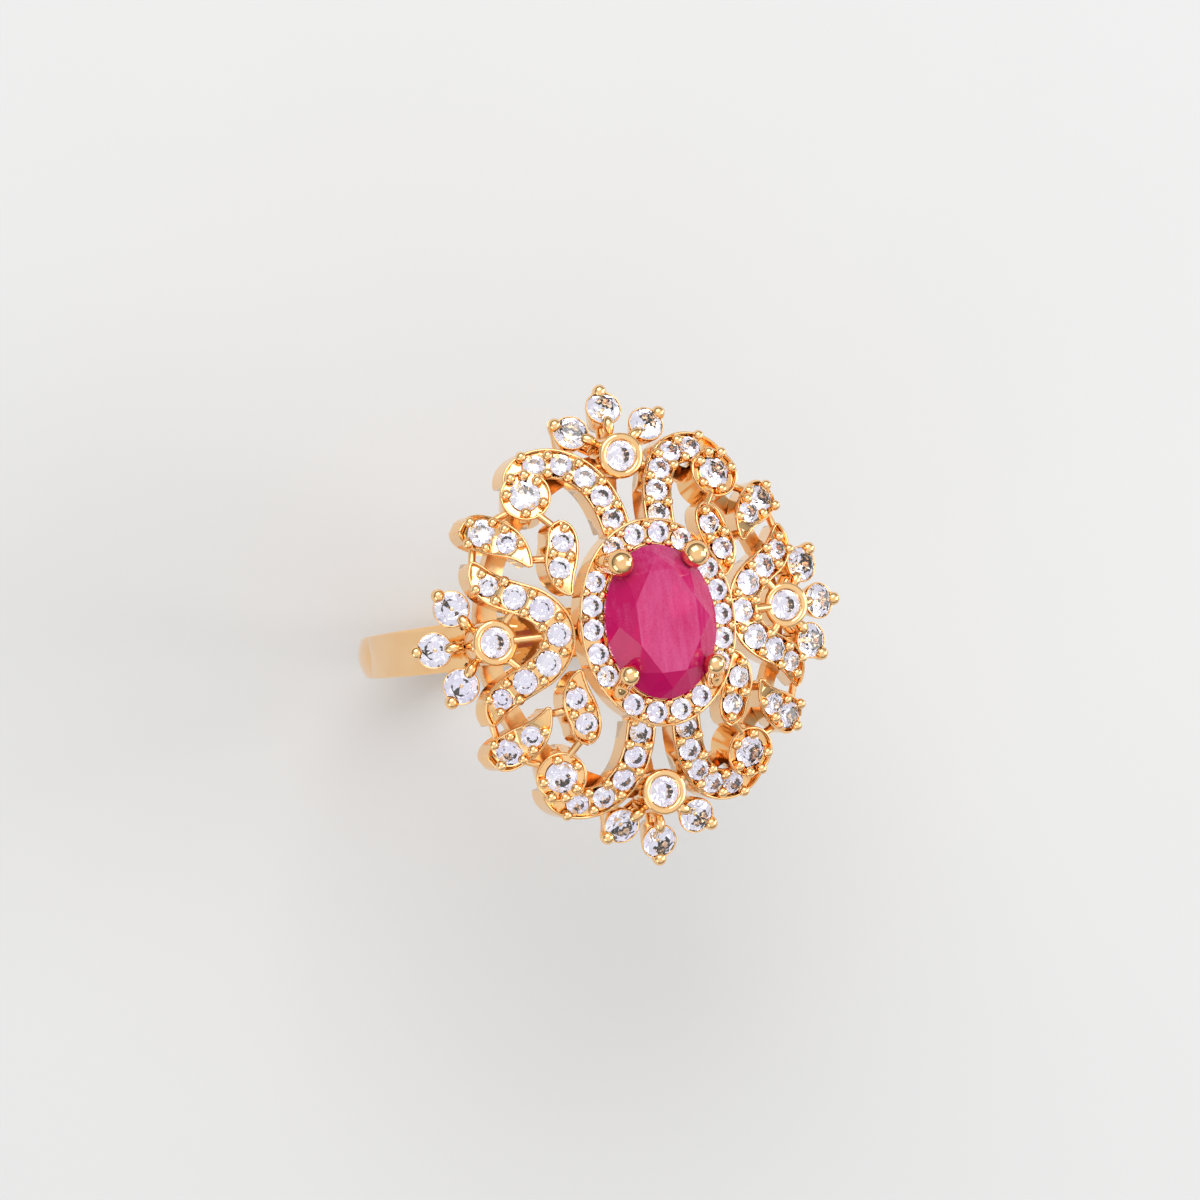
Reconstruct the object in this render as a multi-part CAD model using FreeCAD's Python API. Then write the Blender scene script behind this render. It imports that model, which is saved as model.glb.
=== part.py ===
import FreeCAD, Part
import math
import os

# Cocktail ring: an openwork domed head of grain-set stones round an oval ruby, on a polished shank.
# Millimetres. The origin is the centre of the finger hole, +Y runs along the finger, +X is the ring's
# east side and +Z points out of the head. The head is mirrored in X and in Y, so one quadrant and one
# north and one east cluster are drawn, and the rest are their mirror images. Only the claws differ:
# the south pair lies further round the ruby than the north pair.

V = FreeCAD.Vector

# Finger hole and shank
FINGER_R = 9.25
SHANK_THICK = 1.5
SHANK_EDGE_THICK = 0.95
SHANK_W_BACK = 1.9
SHANK_W_TOP = 2.8

# Head dome: the tops of all strips lie on this sphere, and their stones point away from the aim
DOME_R = 14.4
DOME_CENTRE_Z = 3.4
AIM_Z = -12.0
STRIP_DEPTH = 1.9

# Stone radii
HALO_STONE_R = 0.54
SCROLL_STONE_R = (0.57, 0.57, 0.57, 0.57, 0.57, 0.80)
CHEVRON_STONE_R = (0.52, 0.62, 0.64, 0.60)
OUTER_LEAF_STONE_R = (0.70, 0.56)
INNER_LEAF_STONE_R = (0.55, 0.55)
BEZEL_STONE_R = 0.76
FLEUR_STONE_R = 0.88

# Brilliant proportions, as shares of the girdle radius
TABLE_SHARE = 0.57
CROWN_SHARE = 0.32
GIRDLE_SHARE = 0.06
PAVILION_SHARE = 0.84

# Seats: play round the girdle, and the azure hole, mouth and depth as shares of the stone's radius
SEAT_PLAY = 0.01
AZURE_SHARE = 0.50
MOUTH_SHARE = 2.0
DRILL_SHARE = 4.0

# Ruby and its basket
RUBY_A = 3.0
RUBY_B = 4.0
RUBY_TABLE_A = 1.74
RUBY_TABLE_B = 2.64
RUBY_GIRDLE_Z = 18.45
RUBY_GIRDLE_THICK = 0.22
RUBY_CROWN = 1.25
RUBY_PAVILION = 2.3
RUBY_KEEL_A = 0.15
RUBY_KEEL_B = 0.9
CLAW_R = 0.42
CLAW_TIP_R = 0.60
CLAW_FOOT = (1.55, 2.1, 11.2)
CLAW_BEND = (2.55, 3.35, 18.2)
NORTH_CLAW_TIP = (2.05, 3.25, 19.40)
SOUTH_CLAW_TIP = (2.32, 2.52, 19.45)
BASE_RING = (2.1, 2.75, 1.45, 2.1)
BASE_RING_Z = (10.3, 11.5)
SEAT_RING = (2.75, 3.95, 2.15, 3.3)
SEAT_RING_Z = (15.9, 16.9)

# Halo round the ruby
HALO = (4.15, 5.35, 2.85, 4.05)
HALO_Z = (16.3, 18.0)
HALO_STONES = ((0.66, 4.62), (1.85, 4.08), (3.07, 2.45), (3.40, 1.25), (3.50, 0.0))

# Strips of the first quadrant: stone centres, and the centre line with its half widths
SCROLL_STONES = ((1.25, 5.55), (1.50, 6.80), (2.05, 7.90), (3.00, 8.70), (4.30, 8.85))
SCROLL_END = (5.20, 7.35)
SCROLL_END_R = 1.27
SCROLL_LINE = ((1.20, 4.90, 0.70), (1.25, 5.55, 0.72), (1.50, 6.80, 0.73), (2.05, 7.90, 0.73),
               (3.00, 8.70, 0.73), (4.30, 8.85, 0.74), (5.25, 8.42, 0.66), (5.72, 7.75, 0.42))
CHEVRON_STONES = ((7.95, 2.95), (6.85, 2.20), (5.67, 1.42), (5.02, 0.0))
CHEVRON_LINE = ((8.40, 4.25, 0.08), (8.30, 3.70, 0.45), (7.95, 2.95, 0.70), (6.85, 2.20, 0.76),
                (5.67, 1.42, 0.80), (5.02, 0.0, 0.76))
OUTER_LEAF_STONES = ((7.65, 5.70), (6.65, 5.05))
OUTER_LEAF_LINE = ((8.42, 6.19, 0.28), (8.30, 6.11, 0.60), (8.05, 5.95, 0.82), (7.65, 5.70, 0.92),
                   (6.65, 5.05, 0.78), (6.10, 4.35, 0.42), (5.85, 3.70, 0.08))
INNER_LEAF_STONES = ((4.02, 4.75), (4.45, 3.38))
INNER_LEAF_LINE = ((4.12, 5.74, 0.22), (4.05, 5.42, 0.58), (4.04, 4.75, 0.73), (4.42, 3.38, 0.72),
                   (4.38, 2.55, 0.44), (4.15, 2.00, 0.08))
LINE_STATIONS = 20

# Bezel cups: centre, and height of the rim
BEZEL_N = (0.0, 8.80, 15.60)
BEZEL_E = (8.00, 0.0, 15.40)
BEZEL_R = 1.20
BEZEL_DEPTH = 2.30
BEZEL_GIRDLE_DROP = 0.30

# Claw cups of the three-stone clusters: centre, and height of the girdle
FLEUR_N = ((-2.07, 10.30, 13.90), (0.0, 11.40, 13.45), (2.07, 10.30, 13.90))
FLEUR_E = ((9.65, -2.02, 13.65), (10.62, 0.0, 12.90), (9.65, 2.02, 13.65))
FLEUR_CUP_TOP_R = 0.96
FLEUR_CUP_FOOT_R = 0.42
FLEUR_CUP_DEPTH = 2.1
FLEUR_BEAD_R = 0.37
FLEUR_BEAD_REACH = 0.95
FLEUR_BEAD_RISE = 0.10
FLEUR_PRONG_R = 0.28
FLEUR_PRONG_REACH = (0.78, 1.30)
FLEUR_SPINE_DROP = 2.6
FLEUR_SPINE_FOOT_REACH = 0.45
FLEUR_SPINE_FOOT_R = 0.12
FLEUR_ARM_R = 0.34
FLEUR_ARM_DROP = 0.95

# Gallery under the dome
RAIL = (8.35, 9.05, 7.45, 8.15)
RAIL_DROP = 1.75
RAIL_DEPTH = 1.0
RIB_HALF_W = 0.45
RIB_DEPTH = 0.8
RIB_FOOT_Z = 11.4
RIB_NORTH = (2.35, 8.60, 12.95)
RIB_EAST = (1.75, 7.90, 13.10)
SHOULDER_HALF_W = 1.1
SHOULDER_OUTER = ((10.70, 0.8), (10.40, 7.4), (8.90, 13.0))
SHOULDER_INNER = ((7.50, 13.0), (8.95, 9.4), (9.60, 4.4))

# Link wires of the first quadrant, drawn from point to point at a depth under the dome
WIRE_R = 0.20
WIRE_DROP = 0.50
WIRES = (((5.95, 6.65), (7.05, 6.20)),
         ((8.05, 5.25), (8.35, 4.05)),
         ((6.00, 4.05), (4.95, 3.95)),
         ((4.75, 6.30), (4.05, 5.45)),
         ((0.90, 8.50), (1.65, 8.05)),
         ((7.35, 1.00), (6.65, 1.75)))
AXIS_WIRES = (((3.95, 0.0), (4.70, 0.0)), ((5.55, 0.0), (7.00, 0.0)))

# Room that cutting blocks and helper boxes take beyond the pieces
MARGIN = 1.0


def dome_z(x, y):
    """Height of the dome over a point."""
    return DOME_CENTRE_Z + math.sqrt(DOME_R ** 2 - x * x - y * y)


def lean(at):
    """Upward direction of a stone or cup at a point: half of the dome's own slope."""
    return V(at.x, at.y, at.z - AIM_Z).normalize()


def mirrored(shape, in_x, in_y):
    """Copy of a shape, mirrored in X, in Y or in both."""
    result = shape.copy()
    if in_x:
        result = result.mirror(V(0, 0, 0), V(1, 0, 0))
    if in_y:
        result = result.mirror(V(0, 0, 0), V(0, 1, 0))
    return result


def trimmed(shape, blocks):
    """The largest solid that is left of a shape outside the pieces it meets."""
    return max(shape.cut(blocks).Solids, key=lambda solid: solid.Volume)


def bar(start, end, r_start, r_end):
    """Round bar or taper between two points."""
    axis = end - start
    if r_start == r_end:
        return Part.makeCylinder(r_start, axis.Length, start, axis)
    return Part.makeCone(r_start, r_end, axis.Length, start, axis)


def ellipse_face(a, b, z):
    """Flat elliptical face with half axes a along X and b along Y."""
    if b >= a:
        curve = Part.Ellipse(V(0, b, z), V(a, 0, z), V(0, 0, z))
    else:
        curve = Part.Ellipse(V(a, 0, z), V(0, b, z), V(0, 0, z))
    return Part.Face(Part.Wire(curve.toShape()))


def oval_ring(axes, z_low, z_high):
    """Upright oval ring: axes are the outer a and b and the inner a and b."""
    rise = V(0, 0, z_high - z_low)
    outer = ellipse_face(axes[0], axes[1], z_low).extrude(rise)
    inner = ellipse_face(axes[2], axes[3], z_low).extrude(rise)
    return outer.cut(inner)


def revolved(profile):
    """Solid of revolution about Z from (radius, height) points."""
    points = [V(r, 0, z) for r, z in profile]
    face = Part.Face(Part.makePolygon(points + points[:1]))
    return face.revolve(V(0, 0, 0), V(0, 0, 1), 360)


def brilliant(radius):
    """Round stone with its girdle at the origin."""
    half = GIRDLE_SHARE * radius / 2
    return revolved(((0, -PAVILION_SHARE * radius), (radius, -half), (radius, half),
                     (TABLE_SHARE * radius, CROWN_SHARE * radius), (0, CROWN_SHARE * radius)))


def seat(radius):
    """Cutter for a stone's seat: open above the girdle, with an azure hole below."""
    wide = radius + SEAT_PLAY
    azure = AZURE_SHARE * radius
    half = GIRDLE_SHARE * radius / 2
    ledge = -PAVILION_SHARE * (wide - azure) - half
    low, high = -DRILL_SHARE * radius, MOUTH_SHARE * radius
    return revolved(((0, low), (azure, low), (azure, ledge), (wide, -half), (wide, high), (0, high)))


def stood(shape, centre, up):
    """Copy of a shape with its origin at a point and its Z along a direction."""
    result = shape.copy()
    result.Placement = FreeCAD.Placement(centre, FreeCAD.Rotation(V(0, 0, 1), up))
    return result


class Line:
    """Centre line of a strip, with a half width at each point, laid on the dome."""

    def __init__(self, points):
        self.curve = Part.BSplineCurve()
        self.curve.interpolate([V(*point) for point in points])

    def frame(self, u):
        """Point on the dome, sideways direction and half width at a parameter."""
        at = self.curve.value(u)
        along = self.curve.tangent(u)[0]
        side = V(-along.y, along.x, 0).normalize()
        top = V(at.x, at.y, dome_z(at.x, at.y))
        up = lean(top)
        side.z = -side.dot(up) / up.z
        return top, side, at.z

    def section(self, u):
        """Section of the strip at a parameter, with upright sides."""
        top, side, half = self.frame(u)
        drop = V(0, 0, -STRIP_DEPTH)
        corners = [top + side * half, top - side * half, top - side * half + drop, top + side * half + drop]
        return Part.makePolygon(corners + corners[:1])

    def sections(self):
        """Sections at even steps from end to end."""
        first, last = self.curve.FirstParameter, self.curve.LastParameter
        return [self.section(first + (last - first) * i / LINE_STATIONS) for i in range(LINE_STATIONS + 1)]


def strip(points):
    """Solid strip on the dome along a centre line of (x, y, half width) points."""
    return Part.makeLoft(Line(points).sections(), True, False)


def set_strip(body, places):
    """Cut the seats in a strip and make its stones: places are (centre, up, radius)."""
    cutters = [stood(seat(radius), centre, up) for centre, up, radius in places]
    stones = [stood(brilliant(radius), centre, up) for centre, up, radius in places]
    return body.cut(cutters), stones


def dome_places(centres, radii):
    """Stone places on the dome, from the centres in plan."""
    tops = [V(x, y, dome_z(x, y)) for x, y in centres]
    return [(top, lean(top), radius) for top, radius in zip(tops, radii)]


def make_shank():
    """D-section band that widens towards the head."""
    half = SHANK_W_TOP / 2
    crown, edge = FINGER_R + SHANK_THICK, FINGER_R + SHANK_EDGE_THICK
    arc = Part.Arc(V(edge, half, 0), V(crown, 0, 0), V(edge, -half, 0)).toShape()
    corners = [V(edge, -half, 0), V(FINGER_R, -half, 0), V(FINGER_R, half, 0), V(edge, half, 0)]
    sides = Part.makePolygon(corners).Edges
    band = Part.Face(Part.Wire([arc] + sides)).revolve(V(0, 0, 0), V(0, 1, 0), 360)
    reach, back = crown + MARGIN, SHANK_W_BACK / 2
    slab = [V(-reach, y, z) for y, z in ((-back, -reach), (back, -reach), (half, reach), (-half, reach))]
    wedge = Part.Face(Part.makePolygon(slab + slab[:1])).extrude(V(2 * reach, 0, 0))
    return band.common(wedge)


def make_shoulder():
    """East shoulder: a curved bar from the shank up to the gallery rail."""
    outer = [V(x, -SHOULDER_HALF_W, z) for x, z in SHOULDER_OUTER]
    inner = [V(x, -SHOULDER_HALF_W, z) for x, z in SHOULDER_INNER]
    edges = [Part.Arc(*outer).toShape(), Part.makeLine(outer[2], inner[0]),
             Part.Arc(*inner).toShape(), Part.makeLine(inner[2], outer[0])]
    return Part.Face(Part.Wire(edges)).extrude(V(0, 2 * SHOULDER_HALF_W, 0))


def make_rib(span, along_x):
    """Rising bar from the basket's base ring out to the gallery rail."""
    start, end, top = span
    outline = [(start, RIB_FOOT_Z - RIB_DEPTH), (start, RIB_FOOT_Z), (end, top), (end, top - RIB_DEPTH)]
    if along_x:
        points = [V(r, -RIB_HALF_W, z) for r, z in outline]
        return Part.Face(Part.makePolygon(points + points[:1])).extrude(V(0, 2 * RIB_HALF_W, 0))
    points = [V(-RIB_HALF_W, r, z) for r, z in outline]
    return Part.Face(Part.makePolygon(points + points[:1])).extrude(V(2 * RIB_HALF_W, 0, 0))


def make_rail():
    """Oval rail that follows the dome, under the strips."""
    ring = oval_ring(RAIL, 0, DOME_CENTRE_Z + DOME_R)
    under = Part.makeSphere(DOME_R, V(0, 0, DOME_CENTRE_Z - RAIL_DROP))
    over = Part.makeSphere(DOME_R, V(0, 0, DOME_CENTRE_Z - RAIL_DROP - RAIL_DEPTH))
    reach = DOME_R + MARGIN
    upper_half = Part.makeBox(2 * reach, 2 * reach, reach, V(-reach, -reach, DOME_CENTRE_Z))
    return ring.common(under).cut(over).common(upper_half)


def make_ruby():
    """Oval ruby as table, girdle and keel outlines joined by straight sides."""
    top = RUBY_GIRDLE_Z + RUBY_GIRDLE_THICK / 2
    low = RUBY_GIRDLE_Z - RUBY_GIRDLE_THICK / 2
    outlines = ((RUBY_KEEL_A, RUBY_KEEL_B, low - RUBY_PAVILION), (RUBY_A, RUBY_B, low),
                (RUBY_A, RUBY_B, top), (RUBY_TABLE_A, RUBY_TABLE_B, top + RUBY_CROWN))
    wires = [ellipse_face(a, b, z).OuterWire for a, b, z in outlines]
    return Part.makeLoft(wires, True, True)


def make_claw(tip_at):
    """One claw of the basket, with its tip bead over the ruby's edge."""
    foot, bend, tip = V(*CLAW_FOOT), V(*CLAW_BEND), V(*tip_at)
    post = bar(foot, bend, CLAW_R, CLAW_R)
    hook = bar(bend, tip, CLAW_R, CLAW_R)
    return post.fuse([hook, Part.makeSphere(CLAW_R, bend), Part.makeSphere(CLAW_TIP_R, tip)])


def make_basket(ruby, shank):
    """Centre basket: base ring on the shank, seat ring and four claws."""
    base = oval_ring(BASE_RING, *BASE_RING_Z)
    ring = oval_ring(SEAT_RING, *SEAT_RING_Z)
    claws = []
    for tip_at, in_y in ((NORTH_CLAW_TIP, False), (SOUTH_CLAW_TIP, True)):
        claws += [mirrored(make_claw(tip_at), in_x, in_y) for in_x in (False, True)]
    return base.fuse([ring] + claws).cut([ruby, shank])


def make_halo(basket, ruby):
    """Halo frame and its stones, with room for the claws."""
    frame = oval_ring(HALO, *HALO_Z)
    centres = []
    for x, y in HALO_STONES:
        for sign_x, sign_y in ((1, 1), (-1, 1), (1, -1), (-1, -1)):
            centre = (sign_x * x, sign_y * y)
            if centre not in centres:
                centres.append(centre)
    places = [(V(x, y, HALO_Z[1]), V(0, 0, 1), HALO_STONE_R) for x, y in centres]
    frame, stones = set_strip(frame, places)
    return frame.cut([basket, ruby]), stones


def make_scroll(blocks):
    """North-east scroll with its five small stones and the large one in its end cup."""
    places = dome_places(SCROLL_STONES + (SCROLL_END,), SCROLL_STONE_R)
    end, up, _ = places[-1]
    cup = Part.makeCylinder(SCROLL_END_R, STRIP_DEPTH, end - up * STRIP_DEPTH, up)
    body, stones = set_strip(strip(SCROLL_LINE).fuse(cup).cut(blocks), places)
    return body, stones[:-1], stones[-1]


def make_leaf(line, centres, radii, blocks):
    """Leaf of two stones, pointed at its inner tip."""
    return set_strip(strip(line).cut(blocks), dome_places(centres, radii))


def make_chevron(blocks):
    """East chevron of seven stones that bends round the east bezel cup."""
    lower = tuple((x, -y, half) for x, y, half in CHEVRON_LINE[-2::-1])
    centres = CHEVRON_STONES + tuple((x, -y) for x, y in CHEVRON_STONES[-2::-1])
    radii = CHEVRON_STONE_R + CHEVRON_STONE_R[-2::-1]
    return set_strip(strip(CHEVRON_LINE + lower).cut(blocks), dome_places(centres, radii))


def bezel_block(place):
    """Space that a bezel cup takes out of the pieces beside it."""
    x, y, rim = place
    return Part.makeCylinder(BEZEL_R, 2 * BEZEL_DEPTH, V(x, y, rim - BEZEL_DEPTH))


def make_bezel(place, rail):
    """Bezel cup with its stone set below the rim."""
    x, y, rim = place
    cup = Part.makeCylinder(BEZEL_R, BEZEL_DEPTH, V(x, y, rim - BEZEL_DEPTH)).cut(rail)
    body, stones = set_strip(cup, [(V(x, y, rim - BEZEL_GIRDLE_DROP), V(0, 0, 1), BEZEL_STONE_R)])
    return body, stones[0]


def make_fleur_cup(place, bezel_place):
    """Tapered claw cup with an outer spine and bead, an inner prong and an arm to the bezel."""
    at = V(*place)
    up = lean(at)
    out = V(at.x - bezel_place[0], at.y - bezel_place[1], 0).normalize()
    out = (out - up * out.dot(up)).normalize()
    rise = up * FLEUR_BEAD_RISE
    foot = at - up * FLEUR_CUP_DEPTH
    cup = bar(foot, at, FLEUR_CUP_FOOT_R, FLEUR_CUP_TOP_R)
    spine_foot = at + out * FLEUR_SPINE_FOOT_REACH - up * FLEUR_SPINE_DROP
    bead_at = at + out * FLEUR_BEAD_REACH + rise
    spine = bar(spine_foot, bead_at, FLEUR_SPINE_FOOT_R, FLEUR_BEAD_R)
    drop = up * FLEUR_ARM_DROP
    arm_end = V(bezel_place[0], bezel_place[1], at.z - FLEUR_ARM_DROP)
    arm = bar(at - drop, arm_end, FLEUR_ARM_R, FLEUR_ARM_R)
    near, far = [at - out * reach + rise for reach in FLEUR_PRONG_REACH]
    prong = bar(near, far, FLEUR_PRONG_R, FLEUR_PRONG_R)
    stem = bar(far - drop, far, FLEUR_ARM_R, FLEUR_PRONG_R)
    beads = [Part.makeSphere(FLEUR_BEAD_R, bead_at), Part.makeSphere(FLEUR_PRONG_R, near)]
    return cup.fuse([spine, arm, prong, stem] + beads)


def make_fleur(places, bezel_place, blocks):
    """Three claw cups in one casting, and their stones."""
    cups = [make_fleur_cup(place, bezel_place) for place in places]
    body = cups[0].fuse(cups[1:]).cut(blocks)
    return set_strip(body, [(V(*place), lean(V(*place)), FLEUR_STONE_R) for place in places])


def make_wire(ends, blocks):
    """Link wire between two points in plan, trimmed to the pieces that it joins."""
    points = [V(x, y, dome_z(x, y) - WIRE_DROP) for x, y in ends]
    return trimmed(bar(points[0], points[1], WIRE_R, WIRE_R), blocks)


def quarters(name, shape):
    """The four mirrored copies of a quadrant's piece, by node name."""
    sides = (("ne", False, False), ("nw", True, False), ("se", False, True), ("sw", True, True))
    return {f"{name}_{side}": mirrored(shape, in_x, in_y) for side, in_x, in_y in sides}


def on_all_quarters(shapes):
    """One compound of a quadrant's shapes and their mirrored copies."""
    return Part.makeCompound(list(quarters("copy", Part.makeCompound(shapes)).values()))


def east_west(name, shape):
    """An east piece and its western copy, by node name."""
    return {f"{name}_e": shape, f"{name}_w": mirrored(shape, True, False)}


def north_south(name, shape):
    """A north piece and its southern copy, by node name."""
    return {f"{name}_n": shape, f"{name}_s": mirrored(shape, False, True)}


def make_wires(blocks):
    """All link wires of the head."""
    wires = []
    for ends in WIRES:
        wires += quarters("wire", make_wire(ends, blocks)).values()
    for ends in AXIS_WIRES:
        wires += east_west("wire", make_wire(ends, blocks)).values()
    return wires


def make_ring():
    """All nodes of the ring, by name."""
    nodes = {}
    shank, ruby, rail = make_shank(), make_ruby(), make_rail()
    basket = make_basket(ruby, shank)
    halo, halo_stones = make_halo(basket, ruby)
    halo_block = oval_ring(HALO, 0, HALO_Z[1])
    block_n, block_e = bezel_block(BEZEL_N), bezel_block(BEZEL_E)

    scroll, scroll_stones, end_stone = make_scroll([halo_block, block_n, rail])
    inner_leaf, inner_stones = make_leaf(
        INNER_LEAF_LINE, INNER_LEAF_STONES, INNER_LEAF_STONE_R, [halo_block, rail, scroll])
    outer_leaf, outer_stones = make_leaf(
        OUTER_LEAF_LINE, OUTER_LEAF_STONES, OUTER_LEAF_STONE_R, [inner_leaf, rail, scroll])
    chevron, chevron_stones = make_chevron([block_e, rail])
    bezel_n, bezel_stone_n = make_bezel(BEZEL_N, rail)
    bezel_e, bezel_stone_e = make_bezel(BEZEL_E, rail)
    west_scroll = mirrored(scroll, True, False)
    fleur_n, fleur_stones_n = make_fleur(FLEUR_N, BEZEL_N, [block_n, rail, scroll, west_scroll])
    fleur_e, fleur_stones_e = make_fleur(FLEUR_E, BEZEL_E, [block_e, rail, chevron])

    nodes.update(quarters("scroll", scroll))
    nodes.update(quarters("outer_leaf", outer_leaf))
    nodes.update(quarters("inner_leaf", inner_leaf))
    nodes.update(east_west("chevron", chevron))
    nodes.update(north_south("bezel_cup", bezel_n))
    nodes.update(east_west("bezel_cup", bezel_e))
    nodes.update(north_south("fleur_cups", fleur_n))
    nodes.update(east_west("fleur_cups", fleur_e))

    shoulder = make_shoulder().cut([shank, rail, fleur_e, bezel_e])
    rib_e = trimmed(make_rib(RIB_EAST, True), [rail, basket, shank, shoulder, chevron, bezel_e])
    rib_n = trimmed(make_rib(RIB_NORTH, False), [rail, basket, shank, bezel_n])
    ribs = [rib_e, rib_n, mirrored(rib_e, True, False), mirrored(rib_n, False, True)]
    stones = scroll_stones + inner_stones + outer_stones + chevron_stones + [end_stone]
    wires = make_wires([scroll, inner_leaf, outer_leaf, chevron, bezel_n, bezel_e, halo, rail] + stones)

    nodes["shank"] = shank
    nodes.update(east_west("shoulder", shoulder))
    nodes["gallery_rail"] = rail
    nodes["gallery_ribs"] = Part.makeCompound(ribs)
    nodes["centre_basket"] = basket
    nodes["halo_frame"] = halo
    nodes["link_wires"] = Part.makeCompound(wires)
    nodes["centre_ruby"] = ruby
    nodes["halo_stones"] = Part.makeCompound(halo_stones)
    nodes["scroll_end_stones"] = on_all_quarters([end_stone])
    nodes["outer_leaf_stones"] = on_all_quarters(outer_stones)
    nodes["inner_leaf_stones"] = on_all_quarters(inner_stones)
    nodes["bezel_stones"] = Part.makeCompound([bezel_stone_n, mirrored(bezel_stone_n, False, True),
                                               bezel_stone_e, mirrored(bezel_stone_e, True, False)])
    nodes.update(quarters("scroll_stones", Part.makeCompound(scroll_stones)))
    nodes.update(east_west("chevron_stones", Part.makeCompound(chevron_stones)))
    nodes.update(north_south("fleur_stones", Part.makeCompound(fleur_stones_n)))
    nodes.update(east_west("fleur_stones", Part.makeCompound(fleur_stones_e)))
    return nodes


def write_parts(nodes):
    """Write one STEP file per node, holding its solids."""
    os.makedirs("parts", exist_ok=True)
    for name, shape in sorted(nodes.items()):
        solids = shape.Solids
        valid = all(solid.isValid() and solid.Volume > 0 for solid in solids)
        print(f"{name}: {len(solids)} solids, {shape.Volume:.2f} mm3, valid {valid}")
        whole = solids[0] if len(solids) == 1 else Part.makeCompound(solids)
        whole.exportStep(f"parts/{name}.step")


write_parts(make_ring())
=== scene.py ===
import logging
import math
import random
from collections import defaultdict
from dataclasses import dataclass, field
from enum import Enum
from typing import Sequence

import bmesh
import bpy
from mathutils import Matrix, Vector


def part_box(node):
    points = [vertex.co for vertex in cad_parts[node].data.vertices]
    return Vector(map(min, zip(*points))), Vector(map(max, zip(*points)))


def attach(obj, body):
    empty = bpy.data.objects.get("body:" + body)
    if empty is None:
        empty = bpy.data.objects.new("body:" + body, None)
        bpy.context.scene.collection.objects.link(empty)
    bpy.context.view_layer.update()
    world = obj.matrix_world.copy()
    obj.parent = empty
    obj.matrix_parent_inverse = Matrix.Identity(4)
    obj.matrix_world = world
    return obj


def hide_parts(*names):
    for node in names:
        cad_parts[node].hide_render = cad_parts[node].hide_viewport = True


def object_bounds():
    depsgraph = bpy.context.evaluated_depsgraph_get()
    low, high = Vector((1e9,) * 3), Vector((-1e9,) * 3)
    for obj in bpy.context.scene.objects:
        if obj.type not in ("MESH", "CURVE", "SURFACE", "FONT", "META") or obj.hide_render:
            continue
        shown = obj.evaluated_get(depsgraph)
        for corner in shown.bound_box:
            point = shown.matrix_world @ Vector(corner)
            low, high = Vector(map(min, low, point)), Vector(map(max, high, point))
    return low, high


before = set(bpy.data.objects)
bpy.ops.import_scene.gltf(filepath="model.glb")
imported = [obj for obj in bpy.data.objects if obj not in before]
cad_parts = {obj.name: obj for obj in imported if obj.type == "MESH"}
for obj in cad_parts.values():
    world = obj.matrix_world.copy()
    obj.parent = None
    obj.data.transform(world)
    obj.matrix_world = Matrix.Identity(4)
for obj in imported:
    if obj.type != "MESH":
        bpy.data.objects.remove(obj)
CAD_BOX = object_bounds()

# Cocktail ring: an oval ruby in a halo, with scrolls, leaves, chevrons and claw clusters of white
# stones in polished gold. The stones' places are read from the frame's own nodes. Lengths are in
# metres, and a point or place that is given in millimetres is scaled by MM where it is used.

LOG = logging.getLogger("ring")
MM = 0.001
BODY = "root"

# Main facets round a stone, on the crown and again on the pavilion
MAINS = 8

# Reading the frame: points nearer than MERGE are one, a face is a top where its normal rises more
# than UPWARD, and a top smaller than SLIVER (in square metres) is no top
MERGE = 2e-6
UPWARD = 0.55
SLIVER = 1e-9

# A grain's centre, upward direction and radius; two coordinates; a point on a limb and its radius
Grain = tuple[Vector, Vector, float]
Place = tuple[float, float]
Station = tuple[Vector, float]


class Slot(Enum):
    """Finish slots of the record."""

    GOLD = "gold"
    WHITE = "white_stone"
    RUBY = "ruby"


class Mirror(Enum):
    """The four quadrants, as signs in X and Y."""

    NE = (1, 1)
    NW = (-1, 1)
    SE = (1, -1)
    SW = (-1, -1)


# ---------------------------------------------------------------------------------------------
# Nodes and shaders
# ---------------------------------------------------------------------------------------------


class Wire:
    """A node's output that can be added, subtracted and multiplied like a number."""

    def __init__(self, tree: "NodeTree", socket: bpy.types.NodeSocket) -> None:
        """Hold the tree and the socket that carries the value."""
        self.tree = tree
        self.socket = socket

    def _math(self, operation: str, first: object, second: object) -> "Wire":
        """One Math node on two values."""
        return self.tree.node("ShaderNodeMath", {"operation": operation}, {0: first, 1: second})["Value"]

    def __add__(self, other: object) -> "Wire":
        """Sum."""
        return self._math("ADD", self, other)

    __radd__ = __add__

    def __mul__(self, other: object) -> "Wire":
        """Product."""
        return self._math("MULTIPLY", self, other)

    __rmul__ = __mul__

    def __sub__(self, other: object) -> "Wire":
        """Difference."""
        return self._math("SUBTRACT", self, other)

    def __rsub__(self, other: object) -> "Wire":
        """Difference from a number, as in 1 - mask."""
        return self._math("SUBTRACT", other, self)

    def clamped(self) -> "Wire":
        """The value held between 0 and 1."""
        return self._math("MINIMUM", self._math("MAXIMUM", self, 0.0), 1.0)


class Made:
    """A node, indexed by output name."""

    def __init__(self, tree: "NodeTree", node: bpy.types.Node) -> None:
        """Hold the node."""
        self.tree = tree
        self.node = node

    def __getitem__(self, key: str | int) -> Wire:
        """The output of that name or index."""
        return Wire(self.tree, self.node.outputs[key])


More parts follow.
